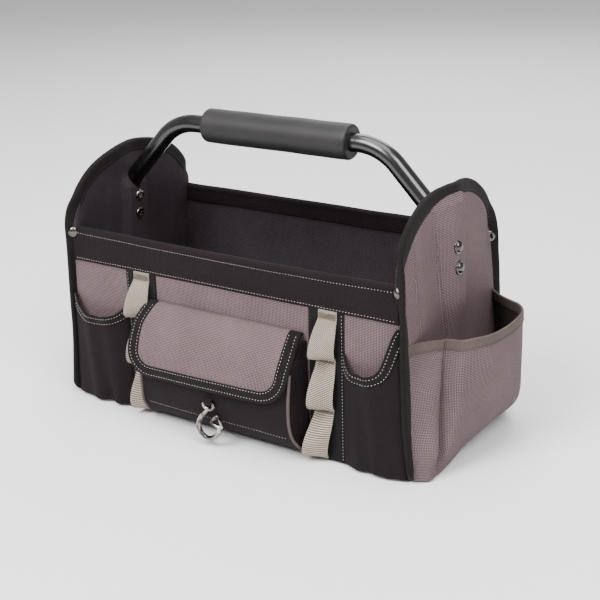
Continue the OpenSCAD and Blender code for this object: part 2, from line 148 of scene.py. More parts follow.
class Paint:
    """A material: constants go on its Principled shader, and anything else is a node."""

    def __init__(self, name, **constants):
        self.material = bpy.data.materials.new(name)
        self.material.use_nodes = True
        self.tree = self.material.node_tree
        self.shader = self.tree.nodes["Principled BSDF"]
        for socket, value in constants.items():
            self.shader.inputs[socket.replace("_", " ")].default_value = value

    def node(self, kind, settings=None, values=None, out=0):
        """Adds a node: its settings first, then the values or links of its sockets."""
        n = self.tree.nodes.new(kind)
        for key, value in (settings or {}).items():
            if key == "stops":
                ramp = n.color_ramp.elements
                for i, (at, colour) in enumerate(value):
                    stop = ramp[i] if i < 2 else ramp.new(at)
                    stop.position, stop.color = at, colour
            else:
                setattr(n, key, value)
        for key, value in (values or {}).items():
            if isinstance(value, Val):
                self.tree.links.new(value.socket, n.inputs[key])
            else:
                n.inputs[key].default_value = value
        return Val(self, n.outputs[out])

    def sum(self, operation, *terms):
        return self.node("ShaderNodeMath", {"operation": operation}, dict(enumerate(terms)))

    def wave(self, phase):
        return self.sum("SINE", phase)

    def clamp(self, value):
        return self.node("ShaderNodeClamp", {}, {0: value})

    def blend(self, factor, a, b):
        return self.node("ShaderNodeMix", {"data_type": "RGBA"}, {0: factor, 6: a, 7: b}, 2)

    def place(self, kind="Object"):
        return self.node("ShaderNodeTexCoord", out={"UV": 2, "Object": 3}[kind])

    def cloth(self):
        """The two ways along the cloth, in millimetres, from the piece's own map."""
        split = self.node("ShaderNodeSeparateXYZ", {}, {0: self.place("UV")})
        return split, Val(self, split.socket.node.outputs[1])

    def noise(self, size, detail=3.0, rough=0.5, place=None):
        """Soft noise with features of about size millimetres."""
        return self.node("ShaderNodeTexNoise", {}, {
            "Vector": place or self.place(), "Scale": 1000 / size, "Detail": detail, "Roughness": rough})

    def link(self, socket, value):
        self.tree.links.new(value.socket, self.shader.inputs[socket])

    def relief(self, height, depth):
        """A bump of this height in millimetres."""
        self.link("Normal", self.node("ShaderNodeBump", {}, {
            "Strength": 1.0, "Distance": depth * MM, "Height": height}))


def tint(red, green, blue):
    """Screen colour, 0 to 255, as the linear colour that shaders use."""
    return tuple(((c / 255 + 0.055) / 1.055) ** 2.4 if c > 10 else c / 255 / 12.92
                 for c in (red, green, blue)) + (1.0,)


def canvas(name, dark, light, pitch, depth, contrast, rough=0.86, sheen=0.01, shine=0.1):
    """Coated polyester: threads cross on the slant, in a checker of raised points, over soft
    patches of lighter and darker cloth and faint runs along both thread directions."""
    p = Paint(name, Sheen_Weight=sheen, Sheen_Roughness=0.5, Specular_IOR_Level=shine)
    u, v = p.cloth()
    points = p.wave((u + v) * (TURN / pitch)) * p.wave((u - v) * (TURN / pitch))
    run = p.wave((u + v) * (TURN / pitch / 0.5))
    patches = p.noise(45, 4.0, 0.55)
    grain = p.noise(2.2, 2.0)
    tone = points * contrast + run * (contrast * 0.25) + (patches - 0.5) * 0.5 + (grain - 0.5) * 0.4 + 0.5
    p.link("Base Color", p.blend(p.clamp(tone), dark, light))
    p.link("Roughness", p.clamp((patches - 0.5) * 0.25 + (rough - points * 0.06)))
    p.relief(points * 0.5 + run * 0.15 + grain * 0.4, depth)
    return p.material


def ribbed(name, dark, light, pitch, depth, slant=0.0, rough=0.8, sheen=0.2, contrast=0.35):
    """Woven tape: ribs across its length, slanted for webbing, with a finer thread along them."""
    p = Paint(name, Sheen_Weight=sheen, Sheen_Roughness=0.5, Specular_IOR_Level=0.14)
    u, v = p.cloth()
    ribs = p.wave((u + v * slant) * (TURN / pitch))
    threads = p.wave(v * (TURN / (pitch * 0.8)))
    patches = p.noise(18, 4.0, 0.6)
    tone = ribs * contrast + threads * (contrast * 0.3) + (patches - 0.5) * 0.9 + 0.5
    p.link("Base Color", p.blend(p.clamp(tone), dark, light))
    p.link("Roughness", p.clamp(rough + (patches - 0.5) * 0.2))
    p.relief(ribs * 0.5 + threads * 0.2 + patches * 0.3, depth)
    return p.material


def metal(name, colour, dark, rough, scratch=0.12, contrast=1.2):
    """Plated steel: cloudy roughness and fine scratches, with painted reflections: a cloud noise blends the
    base colour between the dark and the light colour, and contrast sets how strong these painted reflections
    are.
    """
    p = Paint(name, Metallic=1.0)
    cloud = p.noise(9, 3.0, 0.6)
    lines = p.noise(0.9, 2.0)
    # painted reflections: dark and light patches of the cloud noise in the base colour
    p.link("Base Color", p.blend(p.clamp((cloud - 0.5) * contrast + 0.5), dark, colour))
    p.link("Roughness", p.clamp(rough + (cloud - 0.5) * scratch * 2 + (lines - 0.5) * scratch))
    p.relief(lines, 0.02)
    return p.material


def painted_tube():
    """Gloss powder coat with a faint orange peel and duller handled patches."""
    p = Paint("black_powder_coat", Coat_Weight=0.6, Coat_Roughness=0.12, Specular_IOR_Level=0.5)
    peel = p.noise(1.6, 2.0)
    worn = p.noise(35, 5.0, 0.6)
    p.link("Base Color", p.blend(p.clamp((worn - 0.45) * 3), tint(5, 5, 5), tint(14, 13, 13)))
    p.link("Roughness", p.clamp(0.26 + (worn - 0.5) * 0.3))
    p.relief(peel, 0.05)
    return p.material


def foam_rubber():
    """Closed-cell foam: fine pores, with slightly polished and dusty patches."""
    p = Paint("foam_rubber", Specular_IOR_Level=0.4, Sheen_Weight=0.02, Sheen_Roughness=0.6)
    pores = p.noise(0.9, 3.0, 0.7)
    patches = p.noise(28, 4.0, 0.6)
    p.link("Base Color", p.blend(p.clamp(patches * 1.3 - 0.15 + (pores - 0.5) * 0.4),
                                 tint(15, 14, 14), tint(34, 31, 31)))
    p.link("Roughness", p.clamp(0.5 + (patches - 0.5) * 0.35 + (pores - 0.5) * 0.2))
    p.relief(pores, 0.25)
    return p.material


def plain_board():
    """Black plastic board with a pressed grain."""
    p = Paint("plastic_board", Specular_IOR_Level=0.4)
    grain = p.noise(1.5, 3.0)
    p.link("Base Color", p.blend(p.clamp(grain), tint(10, 10, 10), tint(20, 20, 20)))
    p.link("Roughness", p.clamp(0.5 + (grain - 0.5) * 0.3))
    p.relief(grain, 0.15)
    return p.material


def sewing_thread(name, dark, light):
    """Twisted thread, a little uneven in colour from stitch to stitch."""
    p = Paint(name, Sheen_Weight=0.05, Sheen_Roughness=0.4)
    uneven = p.noise(5, 3.0, 0.7)
    twist = p.noise(0.5, 1.0)
    p.link("Base Color", p.blend(p.clamp(uneven * 1.6 - 0.3), dark, light))
    p.link("Roughness", p.clamp(0.7 + (twist - 0.5) * 0.3))
    p.relief(twist, 0.15)
    return p.material


def fuzzy(name, dark, light):
    """Hook-and-loop tape: a dense tangle of tiny loops."""
    p = Paint(name, Sheen_Weight=0.1, Sheen_Roughness=0.5)
    tangle = p.noise(0.8, 4.0, 0.8)
    p.link("Base Color", p.blend(p.clamp(tangle * 1.8 - 0.4), dark, light))
    p.link("Roughness", p.clamp(0.85 + (tangle - 0.5) * 0.2))
    p.relief(tangle, 0.6)
    return p.material


GREY = canvas("grey_canvas", tint(44, 35, 37), tint(126, 107, 110), 3.3, 0.3, 1.0, shine=0.16)
# Inner face of the end pockets: the grey canvas made darker, partly for its coated back and partly as painted
# shade inside the pocket.
POCKET_BACK = canvas("pocket_inside", tint(30, 23, 22), tint(78, 65, 60), 3.3, 0.3, 0.7)
BLACK = canvas("black_canvas", tint(11, 7, 9), tint(37, 29, 32), 3.3, 0.3, 0.4, 0.82)
LINING = canvas("black_lining", tint(24, 20, 23), tint(66, 58, 63), 3.3, 0.25, 0.35, 0.75, shine=0.12)
TAPE = ribbed("black_grosgrain", tint(8, 6, 6), tint(27, 22, 22), 1.9, 0.35, sheen=0.02)
GREY_TAPE = ribbed("grey_grosgrain", tint(64, 55, 52), tint(96, 85, 80), 1.6, 0.25, sheen=0.03,
                   contrast=0.25)
# The pale webbing's strong rib contrast and low dark tint are partly the weave's own tone and partly painted
# shade in the grooves between its ribs.
PALE = ribbed("pale_webbing", tint(92, 83, 72), tint(178, 168, 154), 2.4, 0.5, 0.4, 0.8, 0.01, 0.75)
STRAP = ribbed("black_webbing", tint(8, 8, 9), tint(24, 22, 24), 2.4, 0.35, sheen=0.02)
WHITE_THREAD = sewing_thread("white_thread", tint(124, 116, 112), tint(190, 182, 176))
DARK_THREAD = sewing_thread("dark_thread", tint(24, 19, 20), tint(52, 44, 44))
# The loop tacks' brown is partly the thread's own colour and partly painted shade of the creases at the
# tacks.
BROWN_THREAD = sewing_thread("brown_thread", tint(78, 66, 58), tint(122, 108, 96))
# Painted reflections: the nickel's cloud contrast of 5.0 makes strong bright and dark patches, and the screw
# and rivet metals have dark base colours that stand in for dark surroundings in their reflections.
NICKEL = metal("bright_nickel", (0.46, 0.43, 0.385, 1), (0.05, 0.044, 0.04, 1), 0.1, contrast=5.0)
SCREW_METAL = metal("dark_chrome", (0.13, 0.12, 0.115, 1), (0.05, 0.046, 0.044, 1), 0.17)
RIVET_METAL = metal("gunmetal", (0.16, 0.145, 0.135, 1), (0.06, 0.055, 0.05, 1), 0.18)
TUBE_PAINT = painted_tube()
FOAM = foam_rubber()
BOARD = plain_board()
CLOSURE = fuzzy("closure_tape", tint(6, 6, 6), tint(22, 21, 21))


# ------------------------------------------------------------------ surfaces


def mix(a, b, t):
    """a at t = 0, b at t = 1, and a straight line between."""
    return a + (b - a) * t


def ease(a, b, x):
    """0 before a and 1 after b, with a smooth S between them."""
    t = np.clip((np.asarray(x, float) - a) / (b - a), 0, 1)
    return t * t * (3 - 2 * t)


def hump(x, at, wide):
    """A bell of height 1 at this place, falling to about a third at the distance wide."""
    return np.exp(-(((x - at) / wide) ** 2))


def unit(v):
    """Each vector divided by its length."""
    return v / np.maximum(np.linalg.norm(v, axis=-1, keepdims=True), 1e-12)


def ripple(a, b, seed, size):
    """An uneven height from about -1 to 1: nine sine waves over (a, b), each in its own seeded
    direction, with wavelengths from half of size to twice it."""
    rng = np.random.default_rng(seed)
    total = 0
    for _ in range(9):
        way, wave, start = rng.uniform(0, TURN), size * rng.uniform(0.5, 2.0), rng.uniform(0, TURN)
        total = total + wave / size * np.sin((a * math.cos(way) + b * math.sin(way)) * TURN / wave + start)
    return total / 5


def spline_at(keys, t):
    """Smooth curve through the rows of keys, at places t from 0 to the last row: cubic pieces
    whose slope at each row is half the step between its neighbours."""
    k = np.asarray(keys, float)
    ends = np.concatenate([2 * k[:1] - k[1:2], k, 2 * k[-1:] - k[-2:-1]])
    t = np.asarray(t, float)
    i = np.clip(t.astype(int), 0, len(k) - 2)
    f = (t - i).reshape((-1,) + (1,) * (k.ndim - 1))
    a, b, c, d = ends[i], ends[i + 1], ends[i + 2], ends[i + 3]
    return 0.5 * (2 * b + (c - a) * f + (2 * a - 5 * b + 4 * c - d) * f**2 + (3 * b - a - 3 * c + d) * f**3)


def even(path, n):
    """The same path with n points spaced evenly along it."""
    path = np.asarray(path, float)
    run = np.concatenate([[0], np.cumsum(np.linalg.norm(np.diff(path, axis=0), axis=1))])
    at = np.linspace(0, run[-1], n)
    return np.stack([np.interp(at, run, path[:, k]) for k in range(path.shape[1])], 1)


def curve(keys, n):
    """n evenly spaced points on the smooth curve through keys."""
    return even(spline_at(keys, np.linspace(0, len(keys) - 1, 12 * len(keys))), n)


def stack(x, y, z):
    """Points from their three coordinates."""
    return np.stack(np.broadcast_arrays(x, y, z), -1).astype(float)


def put(name, points, quads, triangles=None, cloth=None, finish=None, body="bag", replaces=(),
        weld=True, corner=42, lining=None, lined=None):
    """Makes one piece from points in millimetres and faces by point number, with its map of the
    cloth in millimetres. Coinciding points are welded and faces turned outwards. The quads marked
    in lined have the lining's finish."""
    parts = [np.asarray(quads, np.int32).reshape(-1, 4)]
    if triangles is not None and len(triangles):
        parts.append(np.asarray(triangles, np.int32).reshape(-1, 3))
    loops = np.concatenate([f.ravel() for f in parts])
    sizes = np.concatenate([np.full(len(f), f.shape[1]) for f in parts])
    starts = np.concatenate([[0], np.cumsum(sizes)[:-1]]).astype(np.int32)
    mesh = bpy.data.meshes.new(name)
    mesh.vertices.add(len(points))
    mesh.vertices.foreach_set("co", (np.asarray(points) * MM).astype(np.float32).ravel())
    mesh.loops.add(len(loops))
    mesh.loops.foreach_set("vertex_index", loops)
    mesh.polygons.add(len(starts))
    mesh.polygons.foreach_set("loop_start", starts)
    mesh.update(calc_edges=True)
    if cloth is not None:
        layer = mesh.uv_layers.new(name="cloth")
        layer.data.foreach_set("uv", np.asarray(cloth, np.float32)[loops].ravel())
    if lined is not None:
        mesh.polygons.foreach_set("material_index", np.concatenate(
            [lined, np.zeros(len(starts) - len(lined))]).astype(np.int32))
    if weld:
        work = bmesh.new()
        work.from_mesh(mesh)
        bmesh.ops.remove_doubles(work, verts=work.verts, dist=2e-6)
        bmesh.ops.recalc_face_normals(work, faces=work.faces)
        work.to_mesh(mesh)
        work.free()
    mesh.polygons.foreach_set("use_smooth", np.ones(len(mesh.polygons), bool))
    mesh.set_sharp_from_angle(angle=math.radians(corner))
    mesh.materials.append(finish)
    if lining:
        mesh.materials.append(lining)
    piece = bpy.data.objects.new(name, mesh)
    bpy.context.scene.collection.objects.link(piece)
    if body:
        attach(piece, body)
    if replaces:
        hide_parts(*replaces)
    return piece


def cells(index):
    """Quads between neighbours of a grid of point numbers."""
    return np.stack([index[:-1, :-1], index[1:, :-1], index[1:, 1:], index[:-1, 1:]], -1).reshape(-1, 4)


def cloth_map(grid):
    """Distances along both ways of a grid, from its middle."""
    def run(axis):
        step = np.linalg.norm(np.diff(grid, axis=axis), axis=-1)
        lead = np.zeros_like(np.take(step, [0], axis))
        total = np.cumsum(np.concatenate([lead, step], axis), axis)
        return total - np.take(total, [grid.shape[axis] // 2], axis)
    return np.stack([run(0), run(1)], -1)


def facing(grid, out):
    """Unit normals of a grid, from the cross product of its two slopes, turned towards out."""
    n = unit(np.cross(np.gradient(grid, axis=0), np.gradient(grid, axis=1)))
    return n if np.mean(n @ np.asarray(out, float)) > 0 else -n


def shell(name, grid, thick, out, finish, **more):
    """Cloth of this thickness: the grid is its outer face, the same grid moved in along the
    normals is its inner face, and a strip round all four sides closes it."""
    inner = grid - facing(grid, out) * thick
    a, b = grid.shape[:2]
    index = np.arange(a * b).reshape(a, b)
    rim = np.concatenate([index[:, 0], index[-1, 1:], index[-2::-1, -1], index[0, -2::-1]])
    side = np.stack([rim[:-1], rim[:-1] + a * b, rim[1:] + a * b, rim[1:]], -1)
    uv = cloth_map(grid).reshape(-1, 2)
    face = cells(index)
    if "lining" in more:
        more["lined"] = np.repeat([0, 1, 0], [len(face), len(face), len(side)])
    return put(name, np.concatenate([grid.reshape(-1, 3), inner.reshape(-1, 3)]),
               np.concatenate([face, face[:, ::-1] + a * b, side]),
               cloth=np.concatenate([uv, uv]), finish=finish, **more)


def sleeve(name, rings, finish, closed=False, **more):
    """A tube of rings, each a closed loop of points. Its ends are fans to their middles, unless
    the last ring meets the first."""
    n, k = rings.shape[:2]
    index = np.arange(n * k).reshape(n, k)
    index = np.concatenate([index, index[:, :1]], 1)
    if closed:
        index = np.concatenate([index, index[:1]])
    run = cloth_map(np.concatenate([rings, rings[:, :1]], 1))[:, :-1]
    points, uv, fans = rings.reshape(-1, 3), run.reshape(-1, 2), None
    if not closed:
        fans = np.concatenate([
            np.stack([index[e, :-1], index[e, 1:], np.full(k, n * k + j)], -1)[:, ::(1, -1)[j]]
            for j, e in enumerate((0, -1))])
        points = np.concatenate([points, rings[[0, -1]].mean(1)])
        uv = np.concatenate([uv, run[[0, -1]].mean(1)])
    return put(name, points, cells(index), fans, uv, finish, **more)


def ways(path, hint, closed=False):
    """Along a path, the direction across it and the direction of the hint made square to it."""
    if closed:
        t = unit(np.roll(path, -1, 0) - np.roll(path, 1, 0))
    else:
        t = unit(np.gradient(path, axis=0))
    hint = np.broadcast_to(np.asarray(hint, float), path.shape)
    up = unit(hint - t * np.sum(hint * t, -1, keepdims=True))
    return np.cross(t, up), up


def carried(path, across, up, profile):
    """Rings of a flat profile, (across, up) pairs, carried along a path. A profile may be one for
    the whole path or one for each of its points."""
    profile = np.asarray(profile, float)
    if profile.ndim == 2:
        profile = np.broadcast_to(profile, (len(path),) + profile.shape)
    return path[:, None] + across[:, None] * profile[..., :1] + up[:, None] * profile[..., 1:]


def circle(n, r=1.0):
    """n points on a circle: (r cos a, r sin a)."""
    a = np.arange(n) * TURN / n
    return np.stack([r * np.cos(a), r * np.sin(a)], -1)


def wire(path, radius, hint, sides=16, closed=False):
    """Rings of round wire along a path, with a radius for each point or one for all, and
    rounded ends when it is open."""
    path = np.asarray(path, float)
    radius = np.broadcast_to(radius, (len(path),)).astype(float)
    if not closed:
        t = unit(np.gradient(path, axis=0))
        a = np.radians([75, 50, 25])[:, None]
        head = path[0] - t[0] * np.sin(a) * radius[0]
        tail = path[-1] + t[-1] * np.sin(a[::-1]) * radius[-1]
        path = np.concatenate([head, path, tail])
        radius = np.concatenate([np.cos(a[:, 0]) * radius[1], radius, np.cos(a[::-1, 0]) * radius[-1]])
    across, up = ways(path, hint, closed)
    return carried(path, across, up, circle(sides)[None] * radius[:, None, None])


def turned(at, axis, profile, sides=32):
    """Rings of a shape turned on an axis: profile gives (radius, height along the axis) pairs."""
    axis = unit(np.asarray(axis, float))
    side = unit(np.cross(axis, (0.3, 0.2, 0.9)))
    profile = np.asarray(profile, float)
    a = np.arange(sides) * TURN / sides
    round_ = side * np.cos(a)[:, None] + np.cross(axis, side) * np.sin(a)[:, None]
    return np.asarray(at) + profile[:, None, :1] * round_ + profile[:, None, 1:] * axis


def several(name, groups, finish, closed=False, **more):
    """One piece from several tubes of rings that have the same numbers of points."""
    points, quads, fans, uvs = [], [], [], []
    count = 0
    for rings in groups:
        n, k = rings.shape[:2]
        index = np.arange(n * k).reshape(n, k)
        index = np.concatenate([index, index[:, :1]], 1)
        if closed:
            index = np.concatenate([index, index[:1]])
        quads.append(cells(index) + count)
        run = cloth_map(rings).reshape(-1, 2)
        points.append(rings.reshape(-1, 3))
        uvs.append(run)
        if not closed:
            for j, e in enumerate((0, -1)):
                fan = np.stack([index[e, :-1], index[e, 1:], np.full(k, n * k + j)], -1)
                fans.append(fan[:, ::(1, -1)[j]] + count)
            points.append(rings[[0, -1]].mean(1))
            uvs.append(np.zeros((2, 2)))
        count = sum(len(p) for p in points)
    return put(name, np.concatenate(points), np.concatenate(quads),
               np.concatenate(fans) if fans else None, np.concatenate(uvs), finish, **more)


class Stitches:
    """Rows of sewing that become one piece. Each stitch is a short arched bead of thread whose
    two ends dip into the cloth."""

    def __init__(self, pitch=3.4, dash=1.6, wide=0.58, high=0.45):
        self.pitch, self.dash, self.wide, self.high = pitch, dash, wide, high
        self.at, self.along, self.up = [], [], []

    def row(self, path, up):
        """A row along path, standing on the side that up points to."""
        path = np.asarray(path, float)
        up = np.broadcast_to(np.asarray(up, float), path.shape)
        run = np.concatenate([[0], np.cumsum(np.linalg.norm(np.diff(path, axis=0), axis=1))])
        n = max(int(run[-1] / self.pitch), 1)
        mid = (np.arange(n) + 0.5) * run[-1] / n

        def at(s, rows):
            return np.stack([np.interp(s, run, rows[:, k]) for k in range(3)], 1)
        self.at.append(at(mid, path))
        self.along.append(unit(at(mid + self.dash / 2, path) - at(mid - self.dash / 2, path)))
        self.up.append(unit(at(mid, up)))

    def make(self, name, finish, body="bag"):
        """Every stitch as one piece: four rings of six points, flat at their ends and bent to an
        arch, 0.35 of the height up in the middle, with a point at each end sunk in the cloth."""
        at, along, up = (np.concatenate(v) for v in (self.at, self.along, self.up))
        side = unit(np.cross(up, along))
        up = np.cross(along, side)
        sides = 6
        place = np.array([-0.42, -0.2, 0.2, 0.42])
        size = np.array([0.62, 1.0, 1.0, 0.62])
        a = np.arange(sides) * TURN / sides
        local = np.zeros((len(place) * sides + 2, 3))
        local[:-2, 0] = np.repeat(place * self.dash, sides)
        local[:-2, 1] = (size[:, None] * np.cos(a) * self.wide / 2).ravel()
        arch = 0.35 - 1.5 * place**2 / 0.42**2 * 0.35
        rise = (arch * self.high)[:, None]
        local[:-2, 2] = (size[:, None] * np.sin(a) * self.high / 2 + rise).ravel()
        local[-2:] = [[-self.dash / 2, 0, -0.5 * self.high], [self.dash / 2, 0, -0.5 * self.high]]
        index = np.arange(len(place) * sides).reshape(len(place), sides)
        index = np.concatenate([index, index[:, :1]], 1)
        quads = cells(index)[:, ::-1]
        last = len(place) * sides
        head = np.stack([index[0, 1:], index[0, :-1], np.full(sides, last)], -1)
        tail = np.stack([index[-1, :-1], index[-1, 1:], np.full(sides, last + 1)], -1)
        fans = np.concatenate([head[:, ::-1], tail[:, ::-1]])
        points = (at[:, None] + along[:, None] * local[None, :, :1] + side[:, None] * local[None, :, 1:2]
                  + up[:, None] * local[None, :, 2:])
        shift = np.arange(len(at))[:, None, None] * len(local)
        piece = put(name, points.reshape(-1, 3), (quads[None] + shift).reshape(-1, 4),
                    (fans[None] + shift).reshape(-1, 3), np.tile(local[:, :2], (len(at), 1)), finish,
                    body, weld=False, corner=180)
        work = bmesh.new()
        work.from_mesh(piece.data)
        bmesh.ops.recalc_face_normals(work, faces=work.faces)
        work.to_mesh(piece.data)
        work.free()
        return piece


def over(surface, a, b, height, out, step):
    """Points at this height over surface(a, b), along the cross product of its two slopes, which
    are taken over a small step and turned towards out."""
    n = np.cross(surface(a + step, b) - surface(a - step, b), surface(a, b + step) - surface(a, b - step))
    n = unit(n)
    sign = 1.0 if np.mean(n @ np.asarray(out, float)) > 0 else -1.0
    return surface(a, b) + n * sign * height


def edge_tape(name, surface, a, b, cloth, lift, out, step, finish, thick=0.7, **more):
    """Binding folded over a cloth's edge. a and b are the surface's own measures of a grid of
    points: rows along the edge, columns inwards from it. The tape runs in over the outer face at
    the height lift, turns round the edge in a half circle, and runs in under the cloth."""
    top = over(surface, a, b, lift, out, step)
    low = over(surface, a, b, -cloth - lift, out, step)
    n = unit(top[:, 0] - low[:, 0])
    beyond = unit(surface(a[:, :1], b[:, :1]) - surface(a[:, 1:2], b[:, 1:2]))[:, 0]
    mid, r = (top[:, 0] + low[:, 0]) / 2, lift + cloth / 2
    bend = [mid + n * r * math.cos(t) + beyond * r * math.sin(t) for t in np.radians([30, 60, 90, 120, 150])]
    grid = np.concatenate([top[:, ::-1], np.stack(bend, 1), low], 1)
    normal = facing(grid, out)
    k = top.shape[1]
    if np.mean(np.sum(normal[:, :k] * n[:, None], -1)) < 0:
        normal = -normal
    inner = grid - normal * thick
    p, q = grid.shape[:2]
    index = np.arange(p * q).reshape(p, q)
    rim = np.concatenate([index[:, 0], index[-1, 1:], index[-2::-1, -1], index[0, -2::-1]])
    side = np.stack([rim[:-1], rim[:-1] + p * q, rim[1:] + p * q, rim[1:]], -1)
    uv = cloth_map(grid).reshape(-1, 2)
    return put(name, np.concatenate([grid.reshape(-1, 3), inner.reshape(-1, 3)]),
               np.concatenate([cells(index), cells(index)[:, ::-1] + p * q, side]),
               cloth=np.concatenate([uv, uv]), finish=finish, **more)


# ------------------------------------------------------------------ sizes from the frame

low, high = (np.array(v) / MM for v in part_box("front_facing"))
FACE = -low[1]                       # forward depth of the outer facing
low, high = (np.array(v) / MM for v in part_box("front_band"))
TOP = high[2]                        # height of the rim
low, high = (np.array(v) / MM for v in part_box("webbing_strip_right"))
STRIP = -low[1]
STRIPS = {1: (low[0], high[0])}
low, high = (np.array(v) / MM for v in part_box("webbing_strip_left"))
STRIPS[-1] = (low[0], high[0])
WALL = FACE - 0.8                    # forward depth of the front panel
INSIDE = WALL - 3                    # its inner face
FOOT, FACING_TOP = 2.4, 163          # heights between which the facings run
# Half the distance between the end panels' middles at their feet, their lean and their lift.
END_X, LEAN, LIFT = 212.0, math.radians(3.4), 0.25
SIDES = {1: "right", -1: "left"}
RIM_POINTS = 560                     # points round an end's outline


def reach(z):
    """Half the inner length of the bag at this height: the ends lean in as they rise."""
    return END_X - 2.5 / math.cos(LEAN) - np.asarray(z) * math.tan(LEAN)


def at_end(points, side):
    """From an end panel's own frame to the bag's: leaned in by its angle, moved out to the end,
    and mirrored for the left one."""
    x, y, z = points[..., 0], points[..., 1], points[..., 2]
    return stack(side * (END_X + x * math.cos(LEAN) - z * math.sin(LEAN)), y,
                 LIFT + x * math.sin(LEAN) + z * math.cos(LEAN))


# ------------------------------------------------------------------ front and back walls


def wall_belly(x, z, seed):
    """How far a long wall stands off its flat: a little fuller low down, and uneven."""
    return 0.8 * np.cos(math.pi * x / 430) * np.sin(math.pi * z / 230) + 0.35 * ripple(x, z, seed, 90)


def long_sheet(name, forward, z0, z1, thick, finish, seed, side=1, **more):
    """A sheet between the two ends: straight across, as wide as the leaning ends leave."""
    u, z = np.meshgrid(np.linspace(-1, 1, 150), np.linspace(z0, z1, 56), indexing="ij")
    x = u * (reach(z) + 0.6)
    y = -side * (forward + wall_belly(x, z, seed))
    return shell(name, stack(x, y, z), thick, (0, -side, 0), finish, **more)


def walls():
    """Front and back: an inner panel and an outer facing each, bowed by wall_belly."""
    long_sheet("front_panel_cloth", WALL - 0.3, FOOT, TOP - 6, 3.0, LINING, 3, replaces=["front_panel"])
    long_sheet("back_panel_cloth", WALL - 0.3, FOOT, TOP - 2.4, 3.0, LINING, 4, -1, replaces=["back_panel"])
    for word, side, finish, seed in (("front", 1, GREY, 3), ("back", -1, BLACK, 4)):
        piece = long_sheet(f"{word}_facing_cloth", FACE + 0.2, FOOT, FACING_TOP, 0.9, finish, seed, side,
                           replaces=[f"{word}_facing"])


# The front band's section, from its lower outer edge over the rim to its lower inner edge:
# forward depth and height.
BAND_WRAP = np.array([
    (100.4, 161.6), (101.3, 162.4), (101.6, 164.2), (101.3, 166), (101.5, 172), (101.4, 182), (101.3, 191),
    (101.0, 197), (100.5, 198.6), (101.0, 200.2), (101.3, 202), (101.0, 204), (99.9, 205.4), (98, 206),
    (95.8, 205.8), (94.3, 204.6), (93.7, 202.4), (93.9, 199), (93.8, 192), (94.0, 185.5)])


def band_point(x, s, side):
    """The band's wrap at a place s along it, sagging slightly in mid-length and uneven."""
    wrap = spline_at(BAND_WRAP, np.ravel(s)).reshape(np.shape(s) + (2,))
    rim = ease(168, 192, wrap[..., 1])
    z = wrap[..., 1] - 5 - (side > 0) * (1.2 + 2.2 * np.cos(math.pi * x / 400)) * rim + 4.5 * (1 - rim)
    z = z - 0.25 * ripple(x, 0 * x, 8 + side, 60)
    out = wrap[..., 0] + 0.5 * ripple(x, z, 11 + side, 70) * np.sin(np.clip(s / 10, 0, 1) * math.pi)
    pucker = 0.22 * np.sin(x * TURN / 7.5 + 2 * ripple(x, z, 5, 30))
    out = out + pucker * (hump(wrap[..., 1], 195, 4) + hump(wrap[..., 1], 168, 4)) * (s < 11)
    return stack(x, -side * out, z)


def bands():
    """The two bands over the rims, band_point on a grid, each with two rows of sewing."""
    rows = Stitches()
    for side, node in ((1, "front"), (-1, "back")):
        u, s = np.meshgrid(np.linspace(-1, 1, 240), np.linspace(0, len(BAND_WRAP) - 1, 76),
                           indexing="ij")
        x = u * (reach(BAND_WRAP[np.round(s).astype(int), 1]) + 0.8)
        grid = band_point(x, s, side)
        piece = shell(f"{node}_band_cloth", grid, 1.3, (0, -side, 0.2), BLACK, replaces=[f"{node}_band"])
        x = np.linspace(-197, 197, 300)
        for s in (2.5, 8.0):
            rows.row(band_point(x, np.full(300, s), side) + (0, -side * 0.15, 0), (0, -side, 0))
    rows.make("band_stitching", WHITE_THREAD)


# ------------------------------------------------------------------ base


def base():
    """Base cloth turned up slightly all round, and a covered board inside it."""
    u, v = np.meshgrid(np.linspace(-1, 1, 90), np.linspace(-1, 1, 50), indexing="ij")
    x, y = u * reach(1.5), v * (WALL - 0.4)
    edge = ease(0.96, 1.0, np.maximum(abs(u), abs(v)))
    piece = shell("base_cloth", stack(x, y, 0.05 + 1.0 * edge + 0.08 * (1 + ripple(x, y, 2, 50))), 1.9,
                  (0, 0, -1), BLACK, replaces=["base_panel"])
    x, y = u * (reach(8) - 1), v * (INSIDE - 1)
    drop = 1.6 * ease(0.965, 1.0, np.maximum(abs(u), abs(v)))
    shell("base_board_covered", stack(x, y, 5.3 - drop + 0.25 * ripple(x, y, 9, 120)), 3.0, (0, 0, 1),
          LINING, replaces=["base_board"])


# ------------------------------------------------------------------ ends


def wing_turn(y, z):
    """How far a corner wing swings outwards, in radians: fully at the rivets' height, and lower
    down less in front than behind, where the walls hold it."""
    front = np.interp(z, [0, 25, 60, 120, 160, 185, 205, 235], [33, 18, 6, 9, 30, 52, 57, 50])
    rear = np.interp(z, [0, 40, 130, 185, 235], [34, 36, 50, 57, 50])
    return np.radians(np.where(y < 0, front, rear))


def fold_wings(points):
    """Bends a plate's upright edges. Beyond a line 94.5 from the middle the cloth turns outwards
    over 6 mm and then runs straight, and heights across the plate turn with it. Near the top the
    whole plate is pushed out along the tube, and it is drawn in a little beside the rivets."""
    x, y, z = points[..., 0], points[..., 1], points[..., 2]
    full, arc, start = wing_turn(y, z), 6.0, 94.5
    d = np.clip(abs(y) - start, 0, None)
    angle = full * np.clip(d / arc, 0, 1)
    straight = np.clip(d - arc, 0, None)
    out = arc / full * (1 - np.cos(angle)) + straight * np.sin(full)
    run = arc / full * np.sin(angle) + straight * np.cos(full)
    tuck = -3.2 * hump(z, 196, 26) * ease(70, 94, abs(y))
    ridge = 6.5 * np.clip(1.08 - abs(y - 9) / 46, 0, 1) ** 1.3 * ease(205, 262, z)
    away = np.minimum(abs(y), start) + run - x * np.sin(angle)
    return stack(x * np.cos(angle) + out + tuck + ridge, np.where(abs(y) > start, np.sign(y) * away, y), z)


